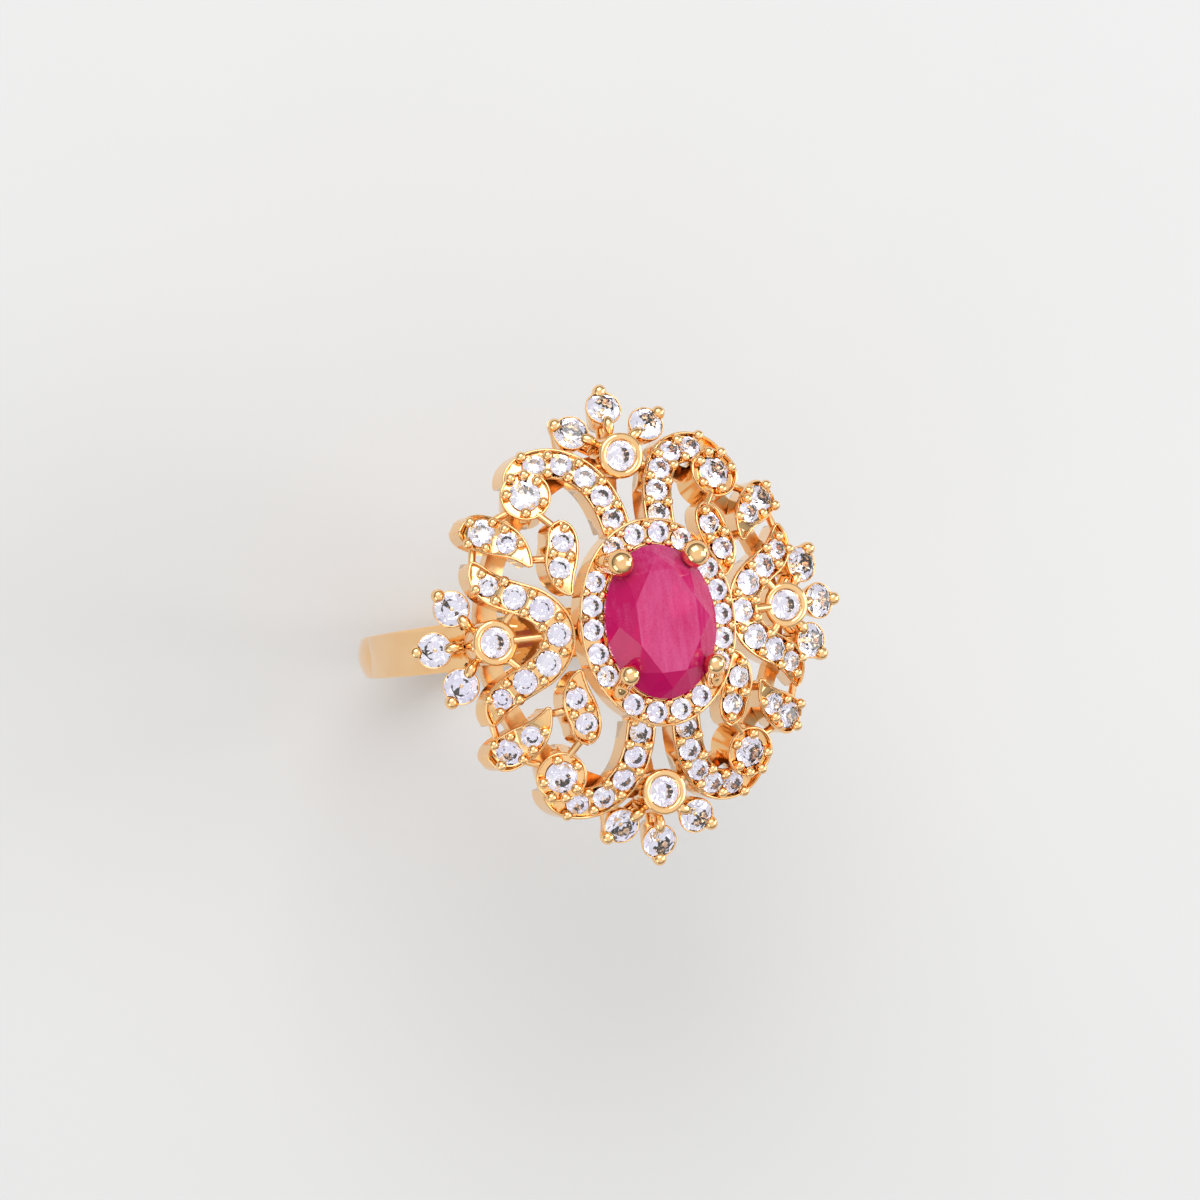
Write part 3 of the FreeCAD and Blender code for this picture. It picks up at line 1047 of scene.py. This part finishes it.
@dataclass
class Gallery:
    """Rail, ribs, shoulders and link wires under the dome."""

    shoulder_edge: float = 0.28 * MM
    rail_edge: float = 0.14 * MM
    wire_edge: float = 0.02 * MM
    steps: int = 3

    def build(self, shop: Workshop) -> None:
        """Make the gallery from the CAD shapes, with broken edges.

        Args:
            shop: Shared finishes and recipes.
        """
        copies = [(CadCopy("shoulder_" + side, self.shoulder_edge, self.steps), shop.polished)
                  for side in "ew"]
        copies += [(CadCopy("gallery_" + part, self.rail_edge, self.steps), shop.cast)
                   for part in ("rail", "ribs")]
        copies.append((CadCopy("link_wires", self.wire_edge, segments=1), shop.cast))
        for copy, finish in copies:
            shop.fit(copy.build(finish), Slot.GOLD, copy.node)


@dataclass
class Strip:
    """A strip of the dome: its casting, raised rims, stones, and grains between the stones."""

    node: str
    stones: Sequence[Site]
    start: Vector
    seats: Sequence[Site] = ()
    rim: float = 0.08 * MM
    rim_height: float = 2.0
    sink: float = 0.15 * MM
    edge: float = 0.03 * MM
    grain: float = 0.30 * MM
    grain_reach: float = 0.50 * MM
    grain_lift: float = 0.12 * MM
    gap_limit: float = 1.75 * MM

    def build(self, shop: Workshop, extra: Sequence[Grain] = ()) -> None:
        """Make the casting, the rims and the grains.

        Args:
            shop: Shared finishes and recipes.
            extra: More grains than those at the gaps.
        """
        body = CadCopy(self.node, self.edge, segments=1, sink=self.sink)
        shop.fit(body.build(shop.polished), Slot.GOLD, self.node)
        outline = top_outline(self.node, [*self.stones, *self.seats])
        shop.run_wires(self.node + "_rims", outline, self.rim, self.rim_height)
        shop.set_grains(self.node + "_grains", self.gap_grains() + list(extra))

    def gap_grains(self) -> list[Grain]:
        """A pair of grains at each gap between neighbours.

        Returns:
            The grains, none where the gap is too wide.
        """
        grains = []
        chain = chained(list(self.stones), self.start)
        for first, second in zip(chain, chain[1:]):
            if (first.centre - second.centre).length < self.gap_limit:
                grains += self.pair(first, second)
        return grains

    def pair(self, first: Site, second: Site) -> list[Grain]:
        """Two grains across the line between two stones.

        Args:
            first: One stone.
            second: Its neighbour.

        Returns:
            A grain on each side.
        """
        up = (first.up + second.up).normalized()
        along = (second.centre - first.centre).normalized()
        side = up.cross(along).normalized()
        share = first.radius / (first.radius + second.radius)
        middle = first.centre.lerp(second.centre, share) + up * self.grain_lift
        return [(middle + side * sign * self.grain_reach, up, self.grain) for sign in (1, -1)]


def ring_grains(site: Site, away_from: Vector, places: Sequence[Place], radius: float,
                lift: float = 0.12 * MM) -> list[Grain]:
    """Grains round a stone.

    Args:
        site: The stone.
        away_from: Point that the zero angle looks away from.
        places: Angle in degrees about the stone's axis, and distance from it, of each grain.
        radius: Of each grain.
        lift: Height of the grains' centres over the girdle.

    Returns:
        The grains.
    """
    away = site.centre - away_from
    away = (away - site.up * away.dot(site.up)).normalized()
    grains = []
    for angle, reach in places:
        direction = Matrix.Rotation(math.radians(angle), 3, site.up) @ away
        grains.append((site.centre + direction * reach + site.up * lift, site.up, radius))
    return grains


def turned(places: Sequence[Place], quadrant: Mirror) -> list[Place]:
    """North-west places in degrees and millimetres, as they stand in a quadrant, in metres."""
    x, y = quadrant.value
    return [(-x * y * angle, reach * MM) for angle, reach in places]


@dataclass
class Scroll:
    """A scroll: five small stones and a large one in the end cup."""

    quadrant: Mirror
    grain: float = 0.30 * MM
    cup_places: Sequence[Place] = (
        (17, 0.98), (84, 1.02), (157, 0.98), (-160, 1.10), (-123, 1.18), (-74, 1.00))
    bend_places: Sequence[Place] = ((-30, 0.80),)
    start_grain: float = 0.24 * MM
    start_places: Sequence[Place] = ((-40, 0.66), (40, 0.66))

    def build(self, shop: Workshop, ends: Sequence[Site]) -> None:
        """Make the scroll with its small stones.

        Args:
            shop: Shared finishes and recipes.
            ends: Large stones of all four scrolls.
        """
        side = self.quadrant.name.lower()
        small = sites_in("scroll_stones_" + side)
        chain = chained(small, min((s.centre for s in small), key=lambda c: abs(c.y)))
        end = min(ends, key=lambda s: (s.centre - chain[-1].centre).length)
        strip = Strip("scroll_" + side, chain, chain[0].centre, seats=[end])
        extra = ring_grains(end, chain[-1].centre, turned(self.cup_places, self.quadrant), self.grain)
        extra += ring_grains(chain[-1], chain[-2].centre, turned(self.bend_places, self.quadrant), self.grain)
        extra += ring_grains(chain[0], chain[1].centre, turned(self.start_places, self.quadrant),
                             self.start_grain)
        strip.build(shop, extra)
        shop.set_stones("scroll_stones_" + side, chain)


@dataclass
class Leaf:
    """A leaf of two stones with grains round them."""

    name: str
    quadrant: Mirror
    sites: Sequence[Site]
    outer_places: Sequence[Place]
    inner_places: Sequence[Place]
    gap_reach: float = 0.0
    gap_limit: float = 10 * MM
    grain: float = 0.29 * MM

    def build(self, shop: Workshop) -> None:
        """Make the leaf.

        Args:
            shop: Shared finishes and recipes.
        """
        x, y = self.quadrant.value
        mine = [s for s in self.sites if s.centre.x * x > 0 and s.centre.y * y > 0]
        outer, inner = sorted(mine, key=lambda s: -abs(s.centre.y))
        limit = self.gap_limit if self.gap_reach else 0.0
        strip = Strip(f"{self.name}_{self.quadrant.name.lower()}", [outer, inner], outer.centre,
                      grain_reach=self.gap_reach, gap_limit=limit)
        extra = ring_grains(outer, inner.centre, turned(self.outer_places, self.quadrant), self.grain)
        extra += ring_grains(inner, outer.centre, turned(self.inner_places, self.quadrant), self.grain)
        strip.build(shop, extra)


@dataclass
class Chevron:
    """Seven stones in a chevron round a bezel cup."""

    side: str
    grain_reach: float = 0.54 * MM
    end_grain: float = 0.28 * MM
    end_places: Sequence[Place] = ((-38, 0.70 * MM), (42, 0.66 * MM))

    def build(self, shop: Workshop) -> None:
        """Make the chevron with its stones.

        Args:
            shop: Shared finishes and recipes.
        """
        node = "chevron_stones_" + self.side
        found = sites_in(node)
        start = max((s.centre for s in found), key=lambda c: c.y)
        chain = chained(found, start)
        strip = Strip("chevron_" + self.side, chain, start, grain_reach=self.grain_reach)
        extra = ring_grains(chain[0], chain[1].centre, self.end_places, self.end_grain)
        extra += ring_grains(chain[-1], chain[-2].centre, self.end_places, self.end_grain)
        strip.build(shop, extra)
        shop.set_stones(node, chain)


@dataclass
class Halo:
    """Oval frame of small stones round the ruby."""

    grain: float = 0.25 * MM
    grain_reach: float = 0.44 * MM
    gap_limit: float = 1.75 * MM

    def build(self, shop: Workshop) -> None:
        """Make the halo with its stones.

        Args:
            shop: Shared finishes and recipes.
        """
        found = sites_in("halo_stones")
        found.sort(key=lambda s: math.atan2(s.centre.y, s.centre.x))
        strip = Strip("halo_frame", found, found[0].centre, grain=self.grain, grain_reach=self.grain_reach,
                      gap_limit=self.gap_limit)
        closing = []
        if (found[-1].centre - found[0].centre).length < self.gap_limit:
            closing = strip.pair(found[-1], found[0])
        strip.build(shop, closing)
        shop.set_stones("halo_stones", found)


@dataclass
class Bezels:
    """Four thick polished cups with a rolled lip."""

    wall: float = 0.42 * MM
    lip: float = 0.16 * MM
    lip_steps: int = 8
    seat_depth: float = 0.36 * MM
    seat_break: float = 0.06 * MM
    hollow_depth: float = 0.95 * MM
    hollow: tuple[float, float] = (0.62, 0.60)
    body: tuple[Place, Place, Place] = ((0.86, 1.0), (0.98, 0.8), (1.0, 0.5))

    def build(self, shop: Workshop) -> None:
        """Turn the cups and set their stones.

        Args:
            shop: Shared finishes and recipes.
        """
        for side in "nesw":
            low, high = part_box("bezel_cup_" + side)
            centre = Vector(((low.x + high.x) / 2, (low.y + high.y) / 2, high.z))
            profile = self.profile((high.x - low.x) / 2, high.z - low.z)
            piece = lathe(f"bezel_{side}_turned", profile, centre, Vector((0, 0, 1)), shop.bright,
                          steps=64)
            shop.fit(piece, Slot.GOLD, "bezel_cup_" + side)
        shop.set_stones("bezel_stones", sites_in("bezel_stones"))

    def profile(self, outer: float, depth: float) -> list[Place]:
        """Closed section of a cup.

        Args:
            outer: Its outer radius.
            depth: Its height.

        Returns:
            Points as radius, and height from the rim.
        """
        inner = outer - self.wall
        points = []
        middle, reach = (outer + inner) / 2, (outer - inner) / 2
        for step in range(self.lip_steps + 1):
            turn = math.pi * step / self.lip_steps
            points.append((middle + reach * math.cos(turn), self.lip * (math.sin(turn) - 1)))
        points += [(inner, self.seat_break - self.seat_depth), (inner - 0.02 * MM, -self.seat_depth),
                   (inner * self.hollow[0], -self.hollow_depth), (inner * self.hollow[1], -depth)]
        return points + [(outer * across, -depth * down) for across, down in self.body]


@dataclass
class Fleur:
    """Cluster of three claw cups, each with an outer spine and bead and an inner prong."""

    side: str
    cup_top: float = 0.96 * MM
    cup_foot: float = 0.42 * MM
    cup_depth: float = 2.1 * MM
    wall: float = 0.10 * MM
    bead: float = 0.37 * MM
    prong: float = 0.28 * MM
    bead_reach: float = 0.95 * MM
    prong_reach: tuple[float, float] = (0.80 * MM, 1.34 * MM)
    bead_rise: float = 0.10 * MM
    spine_drop: float = 2.6 * MM
    spine_foot_reach: float = 0.45 * MM
    spine_foot: float = 0.12 * MM
    spine_bend: float = 0.45
    spine_swell: float = 0.66
    neck: float = 0.92
    neck_drop: float = 0.30 * MM
    prong_swell: float = 1.05
    tip_drop: float = 0.12 * MM
    stem_drop: float = 0.20 * MM
    stem_top: float = 0.8
    arm: float = 0.30 * MM
    arm_drop: float = 0.95 * MM

    def build(self, shop: Workshop) -> None:
        """Make the cluster with its stones.

        Args:
            shop: Shared finishes and recipes.
        """
        low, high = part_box("bezel_cup_" + self.side)
        bezel = Vector(((low.x + high.x) / 2, (low.y + high.y) / 2, 0))
        found = sites_in("fleur_stones_" + self.side)
        pieces = []
        for index, site in enumerate(found):
            pieces += self.cup(shop, site, bezel, index)
        shop.fit(joined(f"fleur_{self.side}_claws", pieces), Slot.GOLD, "fleur_cups_" + self.side)
        shop.set_stones("fleur_stones_" + self.side, found)

    def cup(self, shop: Workshop, site: Site, bezel: Vector, index: int) -> list[bpy.types.Object]:
        """Make one cup with its spine, prong, stem and arm.

        Args:
            shop: Shared finishes and recipes.
            site: Place of its stone.
            bezel: Axis of the bezel cup that the cluster surrounds.
            index: Number of the cup in the cluster.

        Returns:
            Its parts.
        """
        up, name = site.up, f"cup_{self.side}_{index}"
        out = Vector((site.centre.x - bezel.x, site.centre.y - bezel.y, 0)).normalized()
        out = (out - up * out.dot(up)).normalized()
        rise = up * self.bead_rise
        bead_at = site.centre + out * self.bead_reach + rise
        near, far = (site.centre - out * reach + rise for reach in self.prong_reach)
        spine_foot = site.centre + out * self.spine_foot_reach - up * self.spine_drop
        arm_from = site.centre - up * self.arm_drop
        arm_to = Vector((bezel.x, bezel.y, site.centre.z - self.arm_drop))
        thin = self.prong * self.stem_top
        limbs = {
            "spine": [(spine_foot, self.spine_foot),
                      (bead_at.lerp(spine_foot, self.spine_bend), self.bead * self.spine_swell),
                      (bead_at - up * self.neck_drop, self.bead * self.neck), (bead_at, self.bead)],
            "prong": [(near, self.prong), (near.lerp(far, 0.5), self.prong * self.prong_swell),
                      (far - up * self.tip_drop, thin)],
            "stem": [(far - up * self.arm_drop, self.arm), (far - up * self.stem_drop, thin)],
            "arm": [(arm_from, self.arm), (arm_to, self.arm)]}
        cup = lathe(name, self.profile(site.radius), site.centre, up, shop.polished, steps=40)
        return [cup] + [limb(f"{name}_{part}", stations, shop.polished) for part, stations in limbs.items()]

    def profile(self, stone: float) -> list[Place]:
        """Closed section of the open cup.

        Args:
            stone: Radius of the stone.

        Returns:
            Points as radius, and height from the stone's girdle.
        """
        top, foot, depth = self.cup_top, self.cup_foot, self.cup_depth
        inner = stone + 0.005 * MM
        rim = [(inner, -0.03 * MM), (inner, 0.05 * MM), (inner + 0.03 * MM, 0.10 * MM),
               (top - 0.02 * MM, 0.09 * MM), (top + 0.01 * MM, 0.02 * MM), (top, -0.08 * MM)]
        bowl = [(top * 0.9, -depth * 0.22), (foot + (top - foot) * 0.40, -depth * 0.6), (foot, -depth * 0.95)]
        hollow = [(foot * 0.7, -depth), (foot * 0.45, -depth), (foot * 0.45, -depth * 0.7),
                  (stone * 0.5, -0.62 * stone)]
        return rim + bowl + hollow


def limb(name: str, stations: Sequence[Station], material: bpy.types.Material,
         sides: int = 20) -> bpy.types.Object:
    """Round limb with domed ends.

    Args:
        name: Name of the object.
        stations: Points along the limb, each with the limb's radius there.
        material: Finish of the limb.
        sides: Points round the section.

    Returns:
        The limb.
    """
    line = dome(stations[0], stations[1]) + smoothed(stations) + dome(stations[-1], stations[-2])[::-1]
    points = [p for p, _ in line]
    ahead, behind = points[1:] + points[-1:], points[:1] + points[:-1]
    tangents = [(after - before).normalized() for after, before in zip(ahead, behind)]
    normal = tangents[0].orthogonal().normalized()
    verts, faces = [], []
    for (point, radius), tangent in zip(line, tangents):
        normal = (normal - tangent * normal.dot(tangent)).normalized()
        across = tangent.cross(normal)
        for i in range(sides):
            angle = math.tau * i / sides
            verts.append(point + (normal * math.cos(angle) + across * math.sin(angle)) * radius)
    for i in range(len(line) - 1):
        for j in range(sides):
            k = (j + 1) % sides
            faces.append((i * sides + j, i * sides + k, (i + 1) * sides + k, (i + 1) * sides + j))
    faces.append(list(range(sides)))
    faces.append(list(range((len(line) - 1) * sides, len(line) * sides)))
    return mesh_object(name, verts, faces, material)


def dome(end: Station, inward: Station, angles: Sequence[float] = (78, 55, 30)) -> list[Station]:
    """Stations of a limb's domed end, from its tip.

    Args:
        end: Last station of the limb at this end.
        inward: The station before it.
        angles: Steps round the dome, in degrees from its edge.

    Returns:
        The stations.
    """
    point, radius = end
    out = (point - inward[0]).normalized()
    return [(point + out * radius * math.sin(a), radius * math.cos(a)) for a in map(math.radians, angles)]


def smoothed(stations: Sequence[Station], steps: int = 6) -> list[Station]:
    """Add stations on a curve through the given ones.

    Args:
        stations: Points along a limb, each with its radius.
        steps: Steps from one given station to the next.

    Returns:
        All stations.
    """
    result = []
    for i in range(len(stations) - 1):
        p1, p2 = stations[i], stations[i + 1]
        p0 = stations[i - 1] if i else p1
        p3 = stations[i + 2] if i + 2 < len(stations) else p2
        points, radii = zip(p0, p1, p2, p3)
        for step in range(steps):
            result.append((spline(points, step / steps), spline(radii, step / steps)))
    return result + [stations[-1]]


def spline(values: Sequence[Vector] | Sequence[float], t: float) -> Vector | float:
    """Catmull-Rom value between the middle two of four.

    Args:
        values: Four values in a row.
        t: Share of the way from the second to the third.

    Returns:
        The value there.
    """
    a, b, c, d = values
    square, cube = 2 * a - 5 * b + 4 * c - d, 3 * b - a - 3 * c + d
    return 0.5 * (2 * b + (c - a) * t + square * t ** 2 + cube * t ** 3)


@dataclass
class Basket:
    """Centre basket: two oval rings and four claws over the ruby's edge."""

    foot: tuple[float, float, float] = (1.55, 2.1, 11.2)
    bend: tuple[float, float, float] = (2.58, 3.38, 17.8)
    north_tip: tuple[float, float, float] = (2.05, 3.25, 19.38)
    south_tip: tuple[float, float, float] = (2.32, 2.52, 19.42)
    claw: float = 0.43 * MM
    north_bead: float = 0.74 * MM
    south_bead: float = 0.57 * MM
    neck_place: float = 0.6
    neck: float = 0.80
    base_ring: tuple[float, float, float, float] = (2.1, 2.75, 1.45, 2.1)
    base_z: tuple[float, float] = (10.3, 11.5)
    seat_ring: tuple[float, float, float, float] = (2.75, 3.95, 2.15, 3.3)
    seat_z: tuple[float, float] = (15.9, 16.9)
    corner: tuple[float, float] = (0.08, 0.12 * MM)

    def build(self, shop: Workshop) -> None:
        """Make the basket.

        Args:
            shop: Shared finishes and recipes.
        """
        pieces = [self.ring(shop, "base_ring", self.base_ring, self.base_z),
                  self.ring(shop, "seat_ring", self.seat_ring, self.seat_z)]
        pieces += [self.one_claw(shop, quadrant) for quadrant in Mirror]
        shop.fit(joined("basket_claws", pieces), Slot.GOLD, "centre_basket")

    def ring(self, shop: Workshop, name: str, axes: tuple[float, float, float, float],
             heights: tuple[float, float], steps: int = 96) -> bpy.types.Object:
        """Oval ring with softened corners.

        Args:
            shop: Shared finishes and recipes.
            name: Name of the object.
            axes: Outer and then inner half axes, in millimetres.
            heights: Its lower and upper side, in millimetres.
            steps: Sections round the ring.

        Returns:
            The ring.
        """
        outer_a, outer_b, inner_a, inner_b = (v * MM for v in axes)
        low, high = (z * MM for z in heights)
        side, soft = self.corner
        section = [(1, low + soft), (1, high - soft), (1 - side, high), (side, high),
                   (0, high - soft), (0, low + soft), (side, low), (1 - side, low)]
        verts = []
        for i in range(steps):
            angle = math.tau * i / steps
            for share, z in section:
                a, b = inner_a + (outer_a - inner_a) * share, inner_b + (outer_b - inner_b) * share
                verts.append(Vector((a * math.cos(angle), b * math.sin(angle), z)))
        return mesh_object(name, verts, closed_faces(steps, len(section)), shop.polished)

    def one_claw(self, shop: Workshop, quadrant: Mirror) -> bpy.types.Object:
        """Claw that thickens into a round bead over the stone.

        Args:
            shop: Shared finishes and recipes.
            quadrant: Corner of the ruby that it holds.

        Returns:
            The claw.
        """
        x, y = quadrant.value
        at = (self.foot, self.bend, self.north_tip if y > 0 else self.south_tip)
        foot, bend, tip = (Vector((p[0] * x, p[1] * y, p[2])) * MM for p in at)
        bead = self.north_bead if y > 0 else self.south_bead
        stations = [(foot, self.claw), (foot.lerp(bend, 0.5), self.claw), (bend, self.claw),
                    (bend.lerp(tip, self.neck_place), bead * self.neck), (tip, bead)]
        return limb("claw_" + quadrant.name.lower(), stations, shop.bright, sides=28)


@dataclass
class Ruby:
    """Oval ruby, mixed cut."""

    girdle_z: float = 18.45 * MM
    girdle_thick: float = 0.22 * MM
    table: tuple[float, float] = (0.58, 0.71)
    mid: tuple[float, float] = (0.82, 0.87)
    crown_mid: float = 0.50
    margin: float = 0.001 * MM
    seed: int = 4
    table_tone: float = 0.62
    facet_tone: tuple[float, float] = (0.10, 0.16)
    # Painted light: how much paler a facet is painted for facing east (x) and north (y), and how much deeper
    # for facing west and south
    painted_light_side: tuple[float, float] = (0.42, 0.60)

    def build(self, shop: Workshop) -> None:
        """Cut the ruby.

        Args:
            shop: Shared finishes and recipes.
        """
        low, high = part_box("centre_ruby")
        a, b = high.x, high.y
        top = self.girdle_z + self.girdle_thick / 2
        mid_z = top + (high.z - top) * self.crown_mid
        heights = (high.z, mid_z, top, top - self.girdle_thick, low.z)
        table, mid = ((a * across, b * along) for across, along in (self.table, self.mid))
        verts, faces = brilliant_points(table, mid, (a, b), heights, math.pi / MAINS)
        piece = mesh_object("ruby_cut", verts, faces, shop.ruby, smooth=False)
        mark_back(piece, top + self.margin)
        self.tone(piece)
        shop.fit(piece, Slot.RUBY, "centre_ruby")

    def tone(self, piece: bpy.types.Object) -> None:
        """Give each facet its own depth of colour.

        The table is milky. Each other facet gets a base tone, a random step and painted light: the north and
        east facets are painted paler, as if lit from there, and the south and west ones deeper, as painted
        shade.

        Args:
            piece: The cut stone.
        """
        shades = random.Random(self.seed)
        faces = piece.data.polygons
        largest = max(face.area for face in faces)
        # Painted light: the direction that facets are painted paler towards, by the dot product with their
        # normals
        pale = Vector((*self.painted_light_side, 0.0))
        middle, spread = self.facet_tone
        values = [self.table_tone if face.area == largest
                  else middle + pale.dot(face.normal) + shades.uniform(-spread, spread) for face in faces]
        tone = piece.data.attributes.new("tone", "FLOAT", "FACE")
        tone.data.foreach_set("value", values)


# ---------------------------------------------------------------------------------------------
# Stage
# ---------------------------------------------------------------------------------------------


@dataclass
class Camera:
    """View from above and slightly from the west."""

    back: tuple[float, float, float] = (-0.300, 0.001, 0.953)
    up: tuple[float, float, float] = (0.1235, 0.992, 0.035)
    aim: tuple[float, float, float] = (0.0, 0.0, 15.6)
    distance: float = 370.2
    shift_right: float = -2.263
    shift_up: float = 1.220
    lens: float = 213.9
    sensor: float = 36.0
    clip: tuple[float, float] = (0.01, 10.0)

    def build(self) -> None:
        """Add the camera and make it the scene's."""
        back = Vector(self.back).normalized()
        right = Vector(self.up).cross(back).normalized()
        up = back.cross(right)
        data = bpy.data.cameras.new("camera")
        data.lens, data.sensor_width = self.lens, self.sensor
        data.clip_start, data.clip_end = self.clip
        camera = bpy.data.objects.new("camera", data)
        place = Vector(self.aim) + back * self.distance + right * self.shift_right + up * self.shift_up
        camera.matrix_world = Matrix.Translation(place * MM) @ Matrix((right, up, back)).transposed().to_4x4()
        bpy.context.scene.collection.objects.link(camera)
        bpy.context.scene.camera = camera


@dataclass(frozen=True)
class Softbox:
    """Area light that looks at the ring's head."""

    name: str
    place: tuple[float, float, float]
    size: tuple[float, float]
    power: float
    colour: tuple[float, float, float] = (1.0, 1.0, 1.0)
    aim: tuple[float, float, float] = (0, 0, 14)

    def build(self) -> None:
        """Add the light."""
        data = bpy.data.lights.new(self.name, "AREA")
        data.shape, data.size, data.size_y = "RECTANGLE", self.size[0] * MM, self.size[1] * MM
        data.energy, data.color = self.power, self.colour
        light = bpy.data.objects.new(self.name, data)
        place = Vector(self.place) * MM
        look = (place - Vector(self.aim) * MM).to_track_quat("Z", "Y").to_matrix().to_4x4()
        light.matrix_world = Matrix.Translation(place) @ look
        bpy.context.scene.collection.objects.link(light)


@dataclass
class Studio:
    """Pale floor, soft lights and a pale surround."""

    floor_half: float = 900.0 * MM
    floor_colour: tuple[float, float, float] = (0.66, 0.66, 0.66)
    floor_shade: float = 0.985
    floor_grain: float = 60.0
    floor_roughness: float = 0.6
    surround: float = 0.95
    horizon: float = 0.12
    rise: float = 0.75
    lights: Sequence[Softbox] = field(default_factory=lambda: (
        Softbox("key", (-60, 200, 230), (260, 200), 0.40),
        Softbox("fill", (240, -40, 180), (150, 240), 0.26),
        Softbox("low", (-240, -160, 100), (200, 110), 0.13),
        Softbox("spark", (300, 60, 60), (70, 70), 0.12)))

    def build(self) -> None:
        """Set the stage."""
        base = CAD_BOX[0][2]
        half = self.floor_half
        corners = [Vector((x * half, y * half, base)) for x, y in ((-1, -1), (1, -1), (1, 1), (-1, 1))]
        tree = new_material("floor_paper")
        shade = tuple(c * self.floor_shade for c in self.floor_colour)
        colour = tree.mix(tree.noise(self.floor_grain, 2.0), self.floor_colour, shade)
        paper = tree.finish(**{"Base Color": colour, "Roughness": self.floor_roughness})
        floor = mesh_object("floor", corners, [(0, 1, 2, 3)], paper, smooth=False)
        for light in self.lights:
            light.build()
        bpy.context.scene.world = self.sky()
        bpy.context.scene.view_settings.view_transform = "Standard"

    def sky(self) -> bpy.types.World:
        """Surround that is paler overhead than at the horizon.

        Returns:
            The world.
        """
        tree = ShaderTree(bpy.data.worlds.new("surround"))
        toward = tree.node("ShaderNodeTexCoord")["Generated"]
        height = tree.node("ShaderNodeSeparateXYZ", {}, {0: toward})["Z"]
        sockets = {"Value": height, "From Min": 0.0, "From Max": self.rise,
                   "To Min": self.horizon, "To Max": self.surround}
        strength = tree.node("ShaderNodeMapRange", {}, sockets)["Result"]
        sockets = {"Color": (1.0, 1.0, 1.0, 1.0), "Strength": strength}
        glow = tree.node("ShaderNodeBackground", {}, sockets)["Background"]
        tree.node("ShaderNodeOutputWorld", {}, {"Surface": glow})
        return tree.owner


def open_shop() -> Workshop:
    """Make the finishes and the recipes.

    Returns:
        The workshop that all parts share.
    """
    white = WhiteStoneFinish().build()
    polished = GoldFinish("gold_polished")
    bright = GoldFinish("gold_bright", roughness=0.04, roughness_spread=0.05, cast_depth=0.04)
    cast = GoldFinish("gold_cast", roughness=0.22, roughness_spread=0.15, cast_scale=3200.0, cast_depth=0.9)
    return Workshop(
        polished=polished.build(), bright=bright.build(), cast=cast.build(), white=white,
        ruby=RubyFinish().build(), grains=grain_recipe(), stones=stone_recipe(), wires=wire_recipe(),
        gem=Brilliant().build(white))


def build_leaves(shop: Workshop) -> None:
    """Make the eight leaves with their stones.

    Args:
        shop: Shared finishes and recipes.
    """
    outer_sites, inner_sites = sites_in("outer_leaf_stones"), sites_in("inner_leaf_stones")
    for quadrant in Mirror:
        Leaf("outer_leaf", quadrant, outer_sites, ((-18, 0.84), (64, 0.92), (-112, 0.78), (130, 0.84)),
             ((125, 0.70), (19, 0.72))).build(shop)
        Leaf("inner_leaf", quadrant, inner_sites, ((0, 0.68),), ((0, 0.76),), 0.46 * MM).build(shop)
    shop.set_stones("outer_leaf_stones", outer_sites)
    shop.set_stones("inner_leaf_stones", inner_sites)


def main() -> None:
    """Build the ring and its stage."""
    logging.basicConfig(level=logging.INFO, format="%(name)s %(message)s")
    shop = open_shop()
    Band().build(shop)
    Gallery().build(shop)
    Basket().build(shop)
    Ruby().build(shop)
    Halo().build(shop)
    ends = sites_in("scroll_end_stones")
    for quadrant in Mirror:
        Scroll(quadrant).build(shop, ends)
    shop.set_stones("scroll_end_stones", ends)
    build_leaves(shop)
    for side in "ew":
        Chevron(side).build(shop)
    Bezels().build(shop)
    for side in "nesw":
        Fleur(side).build(shop)
    Studio().build()
    Camera().build()
    LOG.info("%d pieces", shop.count)


if __name__ == "__main__":
    main()
